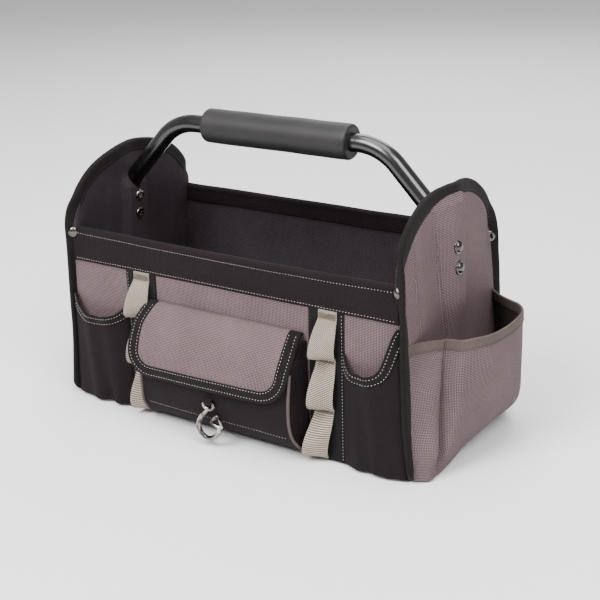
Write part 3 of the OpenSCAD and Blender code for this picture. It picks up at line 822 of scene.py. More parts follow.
def arch(inset, n):
    """An end panel's outline, drawn in by inset, as (y, z) points evenly spaced from the middle
    of its foot round to there again: rounded feet, straight sides, and a superellipse top."""
    w, top, r = 106.5 - inset, 272.5 - inset, 14 - inset / 2
    a = np.radians(np.linspace(-90, 0, 12))
    foot = np.stack([w - r + r * np.cos(a), inset + r + r * np.sin(a)], 1)
    a = np.radians(np.linspace(0, 90, 90))
    power = 2 / 2.2
    head = np.stack([w * np.cos(a) ** power, 195 + (top - 195) * np.sin(a) ** power], 1)
    half = even(np.concatenate([[[0, inset]], foot, head]), n // 2 + 1)
    half[:, 0] *= 1 + 0.028 * hump(half[:, 1], 196, 24)
    return np.concatenate([half, (half * (-1, 1))[-2:0:-1]])


def seam_lines(z):
    """Where the end skin's front fold, the sleeve's front seam and its back crease run."""
    return -68 - 0.112 * (z - 134), -28 - 0.145 * (z - 170), 27 - 0.08 * (z - 161)


def tent(y, front, back):
    """Height of cloth over the tube: straight slopes up from both lines to a rounded top."""
    slope = np.minimum((y - front) / (-6 - front), (back - y) / (back - 6))
    return 9.0 * (1.15 * np.clip(slope, 0, 1) - 0.15 * np.clip(slope, 0, 1) ** 3)


def skin_height(y, z, seed):
    """Outer height of an end's grey skin: the tent over the tube, two overlapped layers, a soft
    bulge by the pocket and a turn outwards towards the corner seams."""
    fold, seam, crease = seam_lines(z)
    strength = (0.3 + 0.7 * ease(95, 168, z)) * (1 - 0.55 * ease(225, 262, z))
    height = tent(y, seam, crease) * strength
    height = height + 1.3 * ease(-0.7, 0.7, y - fold) - 0.7 * hump(y, fold + 3.5, 3)
    height = height + 1.1 * ease(-0.6, 0.6, y - seam) - 0.8 * ease(-2.0, 2.0, y - crease)
    height = height - 0.6 * hump(y, seam + 2.6, 1.6) + 1.2 * hump(y, 62, 22) * ease(250, 200, z)
    height = height + 0.5 * ripple(y, z, seed, 55) * ease(100, 80, abs(y))
    round_top = ((abs(y) / 106.5) ** 2.2 + (np.clip(z - 195, 0, None) / 77.5) ** 2.2) ** (1 / 2.2)
    return 2.9 + height * mix(1, 0.1, ease(0.76, 0.9, round_top) * ease(195, 205, z))


def end_plate(name, inset, outer, thick, side, finish, **more):
    """A sheet over an end panel: points run from the panel's upright middle line out to its
    outline, and outer(y, z) gives its height across the panel."""
    rim = arch(inset, 320)
    middle = np.stack([rim[:, 0] * 0, np.clip(rim[:, 1], 36, 185)], 1)
    r = np.linspace(0, 1, 64)[:, None, None]
    flat = middle + (rim - middle) * r
    y, z = flat[..., 0], flat[..., 1]
    x = outer(y, z)
    face = at_end(fold_wings(stack(x, y, z)), side)
    back = at_end(fold_wings(stack(x - thick, y, z)), side)
    n, k = y.shape
    index = np.arange(n * k).reshape(n, k)
    index = np.concatenate([index, index[:, :1]], 1)
    lip = np.stack([index[-1, :-1], index[-1, 1:], index[-1, 1:] + n * k, index[-1, :-1] + n * k], -1)
    uv = np.stack([y, z], -1).reshape(-1, 2)
    return put(name, np.concatenate([face.reshape(-1, 3), back.reshape(-1, 3)]),
               np.concatenate([cells(index), cells(index)[:, ::-1] + n * k, lip]),
               cloth=np.concatenate([uv, uv]), finish=finish, **more)


def lining_height(y, z, seed):
    """Inner height of an end's lining: a flat-topped sleeve round the tube, soft folds beside it."""
    sleeve_up = ease(24, 13, abs(y)) * ease(30, 60, z) * ease(240, 222, z)
    folds = 0.9 * hump(abs(y), 40, 5) + 0.6 * hump(y, -66, 6) + 0.7 * hump(y, 72, 5)
    return 2.9 + 8.0 * sleeve_up + folds * ease(250, 215, z) + 0.6 * ripple(y, z, seed, 50)


def ends():
    """Each end: the skin and the lining at their heights over the panel, two rows of sewing up
    the skin, and the two boards, each a plate from beside the tube out to a smaller arch."""
    dark = Stitches(3.4, 2.0, 0.95, 0.55)
    for side, word in SIDES.items():
        seed = 30 + side
        skin = end_plate(f"end_skin_cloth_{word}", 9.0, lambda y, z: skin_height(y, z, seed), 1.2, side, GREY,
                         replaces=[f"end_skin_{word}"])
        end_plate(f"end_lining_cloth_{word}", 9.0, lambda y, z: -lining_height(y, z, seed + 4), -1.2, side,
                  LINING, replaces=[f"end_lining_{word}"])
        z = np.linspace(120, 256, 60)
        fold, seam = seam_lines(z)[:2]
        for y in (fold + 2.6, seam + 2.6):
            keep = np.hypot(y / 92, np.clip(z - 195, 0, None) / 66) < 1
            path = fold_wings(stack(skin_height(y, z, seed) + 0.1, y, z))[keep]
            dark.row(at_end(path, side), at_end(path + (1, 0, 0), side) - at_end(path, side))
        u, v = np.meshgrid(np.linspace(0, 1, 40), np.linspace(0, 1, 12), indexing="ij")
        for back in (-1, 1):
            z = mix(14, 246, u)
            arched = np.clip(1 - (np.clip(z - 195, 0, 70) / 68) ** 2.2, 0, 1) ** 0.4545
            half = np.where(z < 195, 95.0, 95 * arched)
            y = back * mix(27, np.maximum(half, 34), v)
            board = at_end(fold_wings(stack(0 * y + 1.0, y, z)), side)
            shell(f"end_board_{word}_{'front' if back < 0 else 'rear'}", board, 2.2, (side, 0, 0),
                  BOARD, replaces=[f"end_boards_{word}"] if back > 0 else [])
    dark.make("end_stitching", DARK_THREAD)


def binding_frame(n):
    """Round an end's outline, after its wings are folded: the inner edge of the binding, the way
    it stands out, and the way across it."""
    rim = arch(0, n)
    t = unit(np.roll(rim, -1, 0) - np.roll(rim, 1, 0))
    foot = rim - np.stack([t[:, 1], -t[:, 0]], 1) * 13
    tip = fold_wings(stack(0, rim[:, 0], rim[:, 1]))
    inner = fold_wings(stack(0, foot[:, 0], foot[:, 1]))
    side = fold_wings(stack(1, foot[:, 0], foot[:, 1])) - inner
    stand = unit(tip - inner)
    return inner, stand, unit(side - stand * np.sum(side * stand, -1, keepdims=True))


def bindings():
    """Each end's binding: a folded tape's section carried round the outline. The section's
    half thickness is less beside the rivets, and its edge is uneven by a ripple."""
    black = Stitches(3.0, 1.8, 0.65, 0.4)
    for side, word in SIDES.items():
        inner, stand, across = binding_frame(RIM_POINTS)
        half = np.full(RIM_POINTS, 3.9) - 0.8 * ease(240, 200, inner[:, 2])
        a = np.array([-0.5, 3, 6, 9.5, 11.7, 12.6, 13.0, 12.6, 11.7, 9.5, 6, 3, -0.5])
        h = np.array([0.96, 1, 0.98, 0.93, 0.8, 0.5, 0, -0.5, -0.8, -0.93, -0.98, -1, -0.96])
        wave = 0.35 * ripple(np.arange(RIM_POINTS) * 1.0, np.zeros(RIM_POINTS), 60 + side, 30)
        profile = np.stack([a + wave[:, None] * (a > 4), h * half[:, None]], -1)
        rings = carried(inner, stand, across, profile)
        sleeve(f"end_binding_tape_{word}", at_end(rings, side), TAPE, closed=True,
               replaces=[f"end_binding_{word}"])
        for face in (1, -1):
            path = inner + stand * 2.0 + across * face * half[:, None]
            black.row(at_end(path, side), at_end(path + across * face, side) - at_end(path, side))
    black.make("binding_stitching", DARK_THREAD)


# Plan of an end pocket at four heights, from the front corner to the rear one, in the end
# panel's frame: out from the panel, along it, and up.
POCKET_RIM = [(1.8, -98, 139), (4, -86, 138), (8, -73, 137), (14, -65, 136.5), (30, -56, 136), (46, -46, 136),
              (58, -30, 135.5), (63, -8, 135.5), (64, 18, 135.5), (60, 42, 135.5), (49, 60, 136),
              (34, 71, 136), (18, 81, 136.5), (6, 92, 137), (2.2, 98, 137.5)]
POCKET_MID = [(2, -98, 77), (5, -88, 76), (10, -77, 75), (18, -66, 74), (30, -54, 73), (43, -38, 72),
              (52, -18, 72), (56, 4, 72), (57, 26, 72), (54, 48, 72), (46, 66, 72), (32, 80, 73),
              (17, 90, 75), (6, 96, 76), (2.2, 98, 77)]
POCKET_LOW = [(3, -98, 32), (9, -92, 31), (17, -83, 30), (22, -70, 29), (27, -54, 28), (32, -36, 28),
              (36, -16, 28), (39, 6, 29), (42, 28, 30), (44, 50, 31), (43, 68, 32), (36, 82, 32),
              (22, 92, 32), (9, 97, 32), (3, 98, 32)]
POCKET_FOOT = [(4, -97, 1), (12, -94, 1), (18.5, -88, 1), (20.5, -74, 1), (20, -56, 1.5), (18.5, -38, 2.2),
               (18, -18, 3.5), (18.5, 4, 5), (20, 26, 6.5), (23, 48, 8), (27, 66, 10), (29, 80, 12),
               (21, 91, 9), (10, 96, 4), (4, 97, 2)]
POCKET_KEYS = np.stack([curve(k, 150) for k in (POCKET_FOOT, POCKET_LOW, POCKET_MID, POCKET_RIM)])


def pocket_cloth(u, t, seed):
    """An end pocket's face: the four plans joined by smooth uprights, t from 0 at the foot to 3
    at the rim, with a pleat down from the rim near the front and soft dents lower down."""
    keys = spline_at(POCKET_KEYS, np.ravel(t))
    at = np.clip(np.ravel(u), 0, 1) * 149
    i = np.clip(at.astype(int), 0, 148)
    f = (at - i)[:, None]
    row = np.arange(len(at))
    p = (keys[row, i] * (1 - f) + keys[row, i + 1] * f).reshape(np.shape(u) + (3,))
    over_rim = ease(2.9, 3.0, t)
    valley = 0.215 - 0.03 * (3 - t)
    pleat = -11.5 * hump(u, valley, 0.022) * ease(-0.2, 1.0, t) * (1 - 0.5 * ease(2.3, 3, t))
    pleat = pleat + 6.5 * hump(u, valley - 0.08, 0.05) * ease(0, 1.2, t) * (1 - 0.5 * ease(2.2, 3, t))
    pleat = pleat + 4.5 * hump(u, valley + 0.07, 0.05) * ease(0, 1.0, t) * (1 - 0.7 * ease(2.2, 3, t))
    p[..., 1] -= 6 * hump(u, valley + 0.045, 0.03) * ease(0, 0.8, t) * (1 - 0.4 * ease(2.2, 3, t))
    dents = 1.0 * ripple(u * 260, t * 48, seed, 70) * ease(0.0, 0.12, u) * ease(1.0, 0.88, u)
    dents = dents - 1.2 * hump(u, 0.36 + 0.03 * t, 0.05) * hump(t, 1.4, 0.9)
    dents = dents + 1.3 * hump(u, 0.62, 0.1) * hump(t, 1.6, 0.7)
    dents = dents - 1.6 * hump(u, 0.8, 0.05) * hump(t, 0.8, 0.5)
    p[..., 0] += pleat + dents * (0.35 + 0.65 * ease(3.0, 2.0, t))
    p[..., 2] += 0.8 * ripple(u * 200, 0 * t, seed + 1, 60) * over_rim
    return p


def end_pockets():
    """Both end pockets: pocket_cloth on a grid, with a floor of straight lines from its foot back
    to the panel, a tape folded over its rim and a row of sewing along the tape."""
    rows = Stitches(3.2, 1.7, 0.75, 0.5)
    for side, word in SIDES.items():
        seed = 70 + side

        def surface(u, t, side=side, seed=seed):
            return at_end(pocket_cloth(u, t, seed), side)
        u, t = np.meshgrid(np.linspace(0, 1, 230), np.linspace(0, 2.985, 110), indexing="ij")
        grid = surface(u, t)
        under = POCKET_KEYS[0][np.round(np.linspace(0, 149, 230)).astype(int)]
        rear = under * (0, 0.985, 0) + (2.6, 0, 0.9)
        k = np.linspace(0, 1, 9)[:-1][None, :, None]
        foot = pocket_cloth(u[:, 0], 0 * u[:, 0], seed)
        turned_in = at_end(rear[:, None] * (1 - k) + foot[:, None] * k, side)
        grid = np.concatenate([turned_in, grid], 1)
        piece = shell(f"end_pocket_cloth_{word}", grid, 1.3, (side, 0, 0), GREY, corner=50,
                      lining=POCKET_BACK, replaces=[f"end_pocket_{word}"])
        u, a = np.meshgrid(np.linspace(0.004, 0.996, 260), np.linspace(0, 9.5, 9), indexing="ij")
        t = 2.985 - a / 64
        edge_tape(f"end_pocket_rim_{word}", surface, u, t, 1.3, 0.75, (side, 0, 0), 1e-3, GREY_TAPE,
                  replaces=[f"end_pocket_binding_{word}"])
        u = np.linspace(0.01, 0.99, 300)
        t = np.full(300, 2.985 - 8 / 64)
        path = over(surface, u, t, 0.85, (side, 0, 0), 1e-3)
        rows.row(path, over(surface, u, t, 2, (side, 0, 0), 1e-3) - path)
    rows.make("end_pocket_stitching", DARK_THREAD)


# ------------------------------------------------------------------ strips and tool loops

# Forward depth and height of the loop webbing's outer face, from the top tack down.
LOOP_WAY = [(103.0, 162.2), (103.0, 158), (103.1, 153.5), (106, 149.5), (111.5, 143), (117, 134.5),
            (120.2, 126), (119.6, 118.5), (113, 113.4), (105.2, 111.8), (103.1, 110.4),
            (103.1, 107.6), (105.4, 101.5), (111.5, 93), (117.4, 84), (120.4, 75), (119.8, 66),
            (113.6, 60), (105.4, 58.2), (103.1, 56.8), (103.1, 53.8), (105.4, 48), (111, 39.5),
            (117.6, 30), (120.8, 20.5), (119, 11.5), (112, 6.2), (105, 4.4), (103, 3.2)]
# Where the webbing's middle lies along the bag: height and place, for the right and left ones.
LOOP_DRIFT = {1: [(163, 124.4), (110, 121.6), (57, 119.4), (3, 111.5)],
              -1: [(163, -105.5), (110, -108.5), (57, -109), (3, -107)]}


def loops():
    """Both loop webbings: a flat strip along LOOP_WAY that turns by 29 degrees, widens and shifts
    a little in step with how far it bulges, with its edges curled by the sixth power of w."""
    tacks = Stitches(1.15, 1.3, 0.9, 0.7)
    for side, word in SIDES.items():
        way = curve(LOOP_WAY, 300)
        drift = np.array(LOOP_DRIFT[side])
        middle = np.interp(way[:, 1], drift[::-1, 0], drift[::-1, 1])
        w = np.linspace(-1, 1, 17)
        bulge = (way[:, 0] - 103) / 17.5
        way = stack(103 + 11.8 * bulge, way[:, 1], 0)[:, :2]
        lean = 1.3 * bulge[:, None] * w
        sway = 0.8 * bulge
        curl = -0.35 * w**6
        twist = np.radians(29) * bulge[:, None]
        half = 10.3 + 2.2 * bulge[:, None] + 0.5 * ease(150, 100, way[:, 1:])
        x = middle[:, None] + sway[:, None] + w * half * np.cos(twist)
        grid = stack(x, -(way[:, :1] + curl - w * half * np.sin(twist)), way[:, 1:] + lean)
        piece = shell(f"tool_loop_webbing_{word}", grid, 1.5, (0, -1, 0), PALE, corner=60,
                      replaces=[f"tool_loops_{word}"])
        for z in (159.2, 158.4, 157.6, 156.8, 156.0, 155.2, 154.4, 109.8, 109.1, 108.4, 56.0, 55.3,
                  54.6, 4.6):
            mid = np.interp(z, drift[::-1, 0], drift[::-1, 1])
            wide = 9.4 if z > 150 else 10.2
            x = np.linspace(mid - wide, mid + wide, 20)
            tacks.row(stack(x, -103.3, z + 0.15 * np.sin(x * 2)), (0, -1, 0))
    tacks.make("loop_tacks", BROWN_THREAD)


def strips():
    """The two black webbing strips under the loops: flat, with thinner edges and a ripple."""
    white = Stitches()
    dark = Stitches()
    for side, word in SIDES.items():
        x0, x1 = STRIPS[side]
        u, z = np.meshgrid(np.linspace(0, 1, 33), np.linspace(2.6, 163.4, 110), indexing="ij")
        x = mix(x0, x1, u)
        thin = 0.5 * (ease(0.06, 0.0, u) + ease(0.94, 1.0, u))
        y = -(STRIP + 0.5 + 0.25 * ripple(x, z, 90 + side, 40) - thin)
        shell(f"webbing_strip_cloth_{word}", stack(x, y, z), 1.4, (0, -1, 0), STRAP,
              replaces=[f"webbing_strip_{word}"])
        z = np.linspace(4, 160, 90)
        outer, inner = (x1 - 2.4, x0 + 2.4) if side > 0 else (x0 + 2.4, x1 - 2.4)
        white.row(stack(outer, -(STRIP + 0.6), z), (0, -1, 0))
        dark.row(stack(inner, -(STRIP + 0.6), z), (0, -1, 0))
    white.make("strip_stitching", WHITE_THREAD)
    dark.make("strip_inner_stitching", DARK_THREAD)


# ------------------------------------------------------------------ side pockets on the front


def make_side_pocket(word, x0, x1, rim_keys, seed, rows):
    """A side pocket: a bowed face that is flat at both seams, with a sagging rim, soft upright
    folds and a tuck at its foot. Its binding is measured in from the rim at right angles to it."""
    rim_line = np.array(rim_keys, float)
    wide = 61.0 if x0 > 0 else 74.0

    def height(u):
        return sum(np.interp(u + d, rim_line[:, 0], rim_line[:, 1]) for d in (-0.04, 0, 0.04)) / 3

    def inwards(u, d):
        slope = (height(u + 0.01) - height(u - 0.01)) / (0.02 * wide)
        over_x = np.clip(u + d * slope / np.hypot(slope, 1) / wide, 0.0, 1.0)
        return over_x, (height(u) - d / np.hypot(slope, 1) - 3) / (height(over_x) - 3) - 0.005

    def surface(u, v):
        z = mix(3.0, height(u), v)
        bow = np.sin(math.pi * np.clip(u, 0, 1)) ** 0.62
        out = (8.5 + 6.5 * v**1.3) * bow * (1 - 0.6 * ease(120, 158, z))
        free = np.sin(math.pi * np.clip(u, 0, 1)) ** 1.5 * (1 - 0.5 * v)
        folds = 2.0 * np.sin(TURN * (2.6 * u + 0.25 * v) + seed) * free
        tuck = -2.6 * hump(u, 0.62, 0.07) * hump(v, 0.08, 0.12)
        tuck = tuck + 1.8 * hump(u, 0.76, 0.08) * hump(v, 0.05, 0.12)
        uneven = 0.6 * ripple(u * 60, z, seed, 45) * bow
        left, right = (x0, reach(z) + 1.5) if x0 > 0 else (-reach(z) - 1.5, x1)
        return stack(mix(left, right, u), -(FACE + 0.9 + out + folds + tuck + uneven), z)
    u, v = np.meshgrid(np.linspace(0, 1, 90), np.linspace(0, 0.995, 110), indexing="ij")
    piece = shell(f"front_pocket_cloth_{word}", surface(u, v), 1.2, (0, -1, 0), BLACK,
                  replaces=[f"front_pocket_{word}"])
    u, a = np.meshgrid(np.linspace(0.01, 0.985, 180), np.linspace(0, 8.5, 8), indexing="ij")
    u, v = inwards(u, a)
    edge_tape(f"front_pocket_rim_{word}", surface, u, v, 1.2, 0.7, (0, -1, 0), 1e-3, TAPE,
              replaces=[f"front_pocket_binding_{word}"])
    for a in (1.6, 7.2):
        u, v = inwards(np.linspace(0.02, 0.97, 180), a)
        path = over(surface, u, v, 0.8, (0, -1, 0), 1e-3)
        rows.row(path, over(surface, u, v, 2, (0, -1, 0), 1e-3) - path)


def side_pockets():
    """Both side pockets, each with its rim's heights at places from its left seam to its right."""
    rows = Stitches(3.4, 1.6, 0.62, 0.5)
    make_side_pocket("right", 140.9, 205.0, [(-0.1, 124), (0.03, 121), (0.12, 110), (0.25, 106.5),
                                           (0.45, 107), (0.6, 109.5), (0.69, 113.5), (0.75, 120),
                                           (0.8, 129), (0.85, 140), (0.9, 150.5), (0.95, 156.5), (1, 158.5),
                                           (1.1, 158.5)], 4, rows)
    make_side_pocket("left", -205.0, -126.9, [(-0.1, 126), (0.03, 123), (0.14, 112), (0.32, 106),
                                            (0.55, 104.5), (0.75, 107), (0.87, 111.5), (0.95, 118), (1, 122),
                                            (1.1, 124)], 7, rows)
    rows.make("front_pocket_stitching", WHITE_THREAD)


# ------------------------------------------------------------------ flap pocket

# The pocket's right front edge, from its top down and back to the bag's foot.
POCKET_EDGE = [(94.5, 127.6, 98), (93.6, 128.2, 86), (92.6, 128.6, 72), (92.1, 128.7, 56), (92.4, 128.2, 42),
               (93.8, 125.6, 29), (95.6, 120.5, 20), (97.6, 113.5, 12), (99.4, 107, 6.5), (100.6, 102.4, 3.2)]


def flap_pocket():
    """The pocket under the flap: a face of straight lines between its two edges, crowned in the
    middle, a gusset of straight lines from each edge back to the strip, a cord down each edge,
    a row of sewing and the loop tape."""
    edge = curve(POCKET_EDGE, 120)
    right = edge * (1, -1, 1)
    left = edge * (-1, -1, 1)
    a = np.linspace(0, 1, 120)[:, None, None]
    across = 2 * a[..., 0] - 1
    face = left[None] * (1 - a) + right[None] * a
    down = np.linspace(0, 1, 120)[None]
    crown = 2.6 * (1 - across**2) * np.sin(math.pi * np.clip(down * 1.35, 0, 1))
    crown = crown + 0.6 * ripple(across * 90, down * 130, 21, 60)
    seam = hump(face[..., 2], 25.5, 1.3)
    face[..., 1] -= crown * ease(1.0, 0.9, abs(across)) - 0.5 * seam
    piece = shell("flap_pocket_face_cloth", face, 1.2, (0, -1, 0), BLACK, replaces=["flap_pocket_face"])

    ear = curve([(98.5, 104, 124.5), (97.6, 110, 121), (96.6, 117.5, 113), (95.4, 123.5, 105)]
                + POCKET_EDGE, 150)
    for side in (1, -1):
        line = ear * (side, -1, 1)
        back = np.stack([side * mix(99.5, 100.8, np.linspace(0, 1, 150)), np.full(150, -STRIP - 0.9),
                         np.linspace(125.5, 2.8, 150)], 1)
        t = np.linspace(0, 1, 28)[:, None, None]
        down = np.linspace(0, 1, 150)[None]
        grid = back[None] * (1 - t) + line[None] * t
        fold = 2.4 * np.sin(math.pi * t[..., 0]) * ease(1.0, 0.6, down)
        fold = fold + 0.5 * ripple(t[..., 0] * 28, down * 110, 33, 30)
        grid[..., 0] -= side * fold * np.sin(math.pi * t[..., 0]) ** 0.4
        name = "flap_pocket_gusset_cloth" if side > 0 else "flap_pocket_gusset_left"
        piece = shell(name, grid, 1.1, (side, 0, 0), BLACK,
                      replaces=["flap_pocket_gusset"] if side > 0 else [])

    cords = []
    for side, line in ((1, right), (-1, left)):
        path = line + np.array([side * 0.9, 0.2, 0])
        beside, up = ways(path, (side, 0, 0))
        uneven = 1 + 0.06 * ripple(np.arange(120) * 1.1, np.zeros(120), 41 + side, 12)
        cords.append(carried(path, beside, up, circle(14, 1.55)[None] * uneven[:, None, None]))
    several("flap_pocket_piping_cord", cords, GREY_TAPE, replaces=["flap_pocket_piping"])

    rows = Stitches()
    row = int(np.argmin(abs(edge[:, 2] - 26.5)))
    path = face[4:-4, row]
    rows.row(path + (0, -0.1, 0), (0, -1, 0.2))
    rows.make("flap_pocket_stitching", WHITE_THREAD)

    x, z = np.meshgrid(np.linspace(-40, 40, 60), np.linspace(70, 90, 16), indexing="ij")
    grid = stack(x, -(131.9 + 0.15 * ripple(x, z, 3, 14)), z)
    shell("pocket_loop_patch_pile", grid, 0.9, (0, -1, 0), CLOSURE, replaces=["pocket_loop_patch"])


# ------------------------------------------------------------------ flap

# The flap's outer face from the wall over its fold and down: forward depth and height.
FLAP_KEYS = [(99.7, 132.9), (102, 133.5), (105, 132.9), (109.5, 130.2), (114.8, 125.4), (120.6, 118.2),
             (126, 108.4), (130.4, 97.4), (133.2, 86), (134.9, 74), (135.4, 65), (135.2, 57.4)]
FLAP_LINE = even(spline_at(FLAP_KEYS, np.linspace(0, 11, 240)), 240)
FLAP_LONG = float(np.linalg.norm(np.diff(FLAP_LINE, axis=0), axis=1).sum())
FLAP_CORNER = 30.0                   # radius of its lower corners


def flap_surface(x, s):
    """The flap s along from the wall: the fold's line carried across, crowned in the middle,
    drawn in at its two sides near the fold, and slightly uneven along its lower edge, which
    rises a little to the right."""
    s = np.asarray(s, float) * (0.972 - 0.062 * (np.asarray(x) + 104) / 208 * ease(0, 60, s))
    at = np.clip(s, 0, FLAP_LONG) / FLAP_LONG * 239
    i = np.clip(at.astype(int), 0, 238)
    f = (at - i)[..., None]
    line = FLAP_LINE[i] * (1 - f) + FLAP_LINE[i + 1] * f
    past = s - np.clip(s, 0, FLAP_LONG)
    across = np.clip(x / 104, -1.05, 1.05)
    rise = ease(3, 40, s)
    crown = 2.0 * (1 - across**2) * np.sin(math.pi * np.clip(s / FLAP_LONG, 0, 1)) ** 0.8
    side_drop = 1.6 * abs(across) ** 4 * ease(4, 22, s) * ease(60, 30, s)
    hem = 0.7 * np.sin(x / 26 + 0.6) * ease(55, FLAP_LONG, s)
    uneven = 0.5 * ripple(x, s, 51, 60) * rise
    return stack(x, -(line[..., 0] + crown + hem + uneven - side_drop),
                 line[..., 1] - past - 0.8 * abs(across) ** 3 * ease(4, 20, s) * ease(50, 30, s))


def flap_side(s, inset, left):
    """Where the flap's side edge runs: narrower at the fold, with a round lower corner."""
    if left:
        wide = -97.5 - 7.0 * ease(2, 36, s)
    else:
        wide = 95.5 + 1.0 * ease(2, 30, s) - 4.0 * ease(30, 90, s)
    r, down = FLAP_CORNER - inset, np.clip(s - (FLAP_LONG - FLAP_CORNER), 0, None)
    round_in = FLAP_CORNER - inset - np.sqrt(np.clip(r**2 - np.clip(down, 0, r) ** 2, 0, None))
    return wide + (inset + round_in) * (1 if left else -1)


def flap_outline(inset, n):
    """The flap's free edge as (x, s) pairs, down its left side, along the foot and up the right."""
    bend = FLAP_LONG - FLAP_CORNER
    s = np.concatenate([np.linspace(2.5, bend, 60)[:-1],
                        bend + (FLAP_CORNER - inset) * np.sin(np.linspace(0, math.pi / 2, 40))])
    s = np.minimum(s, FLAP_LONG - inset)
    left = np.stack([flap_side(s, inset, True), s], 1)
    right = np.stack([flap_side(s, inset, False), s], 1)[::-1]
    return even(np.concatenate([left, right]), n)


def hinged(piece):
    """Flap cloth sewn to the wall: its placement is baked into its mesh, and it is left on no body."""
    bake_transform(piece)
    return piece


def flap_cloth():
    """The flap: flap_surface between its two sides, its binding and two rows of sewing round its
    free edge, and the hook tape on its inner face."""
    s, a = np.meshgrid(np.concatenate([np.linspace(0, 12, 22)[:-1], np.linspace(12, FLAP_LONG - 8, 50)[:-1],
                                       np.linspace(FLAP_LONG - 8, FLAP_LONG - 1.05, 14)]),
                       np.linspace(0, 1, 110), indexing="ij")
    x = mix(flap_side(s, 1.0, True), flap_side(s, 1.0, False), a)
    piece = shell("flap_cloth", flap_surface(x, s), 1.6, (0, -1, 0.5), GREY, body=None, replaces=["flap"])
    hinged(piece)

    insets = np.linspace(0.9, 13.6, 11)
    edge = np.stack([flap_outline(i, 420) for i in insets], 1)
    hinged(edge_tape("flap_binding_tape", flap_surface, edge[..., 0], edge[..., 1], 1.6, 0.8,
                     (0, -1, 0.5), 0.05, TAPE, body=None, replaces=["flap_binding"]))
    rows = Stitches(3.4, 1.6, 0.66, 0.5)
    for inset in (3.6, 11.6):
        line = flap_outline(inset, 420)[8:-8]
        path = over(flap_surface, line[:, 0], line[:, 1], 0.9, (0, -1, 0.5), 0.05)
        rows.row(path, over(flap_surface, line[:, 0], line[:, 1], 2, (0, -1, 0.5), 0.05) - path)
    hinged(rows.make("flap_stitching", WHITE_THREAD, body=None))
    x, z = np.meshgrid(np.linspace(-40, 40, 60), np.linspace(70, 84, 12), indexing="ij")
    grid = stack(x, -(132.5 + 0.1 * ripple(x, z, 5, 14)), z)
    shell("flap_hook_patch_pile", grid, 0.9, (0, 1, 0), CLOSURE, body="flap_body",
          replaces=["flap_hook_patch"])


# ------------------------------------------------------------------ key hook

PIVOT = np.array([0.0, -135.1, 50.0])   # the key hook's axis


def key_hook():
    """The webbing tab, a strip round a circle of 3.1 about the pivot, and the hook below it: a
    wire bent along a curve, thinner at both ends, and two small loops of wire."""
    t = np.linspace(-2.55, 2.3, 60)[8:52] + math.pi / 2 - 0.2
    tab = np.concatenate([[(0, -130.4, 57.5), (0, -131.0, 55.5)],
                          PIVOT + stack(0 * t, -3.1 * np.sin(t), 3.1 * np.cos(t)),
                          [(0, -131.2, 45.8), (0, -130.5, 43.5)]])
    tab = even(tab, 70)
    x = np.linspace(-4.2, 4.2, 9)
    grid = stack(x[None], tab[:, 1:2], tab[:, 2:3])
    shell("hook_tab_webbing", grid, 0.9, (0, -1, 0), STRAP, replaces=["hook_tab"])

    belly = curve([(-1.2, -7.4), (-4.6, -11.8), (-9.4, -17.2), (-13.0, -23.6), (-13.9, -30),
                   (-11.6, -36.4), (-6.4, -40.4), (-0.6, -41), (4.8, -38.8), (9.2, -34.6),
                   (11.6, -29.6), (12.2, -25.2)], 110)
    path = PIVOT + stack(belly[:, 0], 0, belly[:, 1])
    thick = 2.5 - 0.7 * ease(14, 0, np.arange(110)) - 0.5 * ease(98, 109, np.arange(110))
    body_rings = wire(path, thick, (0, 1, 0), 20)
    a = np.linspace(0, TURN, 64)[:-1]
    eye = PIVOT + stack(6.3 * np.cos(a), 0.3 * np.sin(2 * a), -3.9 + 3.9 * np.sin(a))
    tilt = math.radians(-38)
    e = stack(6.2 * np.cos(a) + 1.1 * np.cos(2 * a), 0.8 * np.sin(a), 4.7 * np.sin(a) - 0.9 * np.sin(2 * a))
    eyelet = PIVOT + (9.6, 0, -20.4) + stack(e[:, 0] * math.cos(tilt) - e[:, 2] * math.sin(tilt), e[:, 1],
                                            e[:, 0] * math.sin(tilt) + e[:, 2] * math.cos(tilt))
    sleeve("key_hook_wire", body_rings, NICKEL, body="hook_body", replaces=["key_hook"])
    several("key_hook_eyes", [wire(eye, 1.75, (0, 1, 0), 14, True), wire(eyelet, 1.6, (0, 1, 0), 14, True)],
            NICKEL, closed=True, body="hook_body")


# ------------------------------------------------------------------ handle and fasteners


def bent_line(points, bends):
    """Straight runs joined by circular bends, in the plane y = 0."""
    out = [np.array(points[0], float)[None]]
    for i, r in enumerate(bends, 1):
        p, q, s = (np.array(points[j], float) for j in (i - 1, i, i + 1))
        a, b = unit(q - p), unit(s - q)
        angle = math.acos(float(np.clip(a @ b, -1, 1)))
        cut = r * math.tan(angle / 2)
        side = 1.0 if a[0] * b[1] - a[1] * b[0] > 0 else -1.0
        centre = q - a * cut + np.array([-a[1], a[0]]) * side * r
        start = math.atan2(*(q - a * cut - centre)[::-1])
        t = start + side * np.linspace(0, angle, 40)
        out.append(centre + r * np.stack([np.cos(t), np.sin(t)], 1))
    out.append(np.array(points[-1], float)[None])
    return np.concatenate(out)


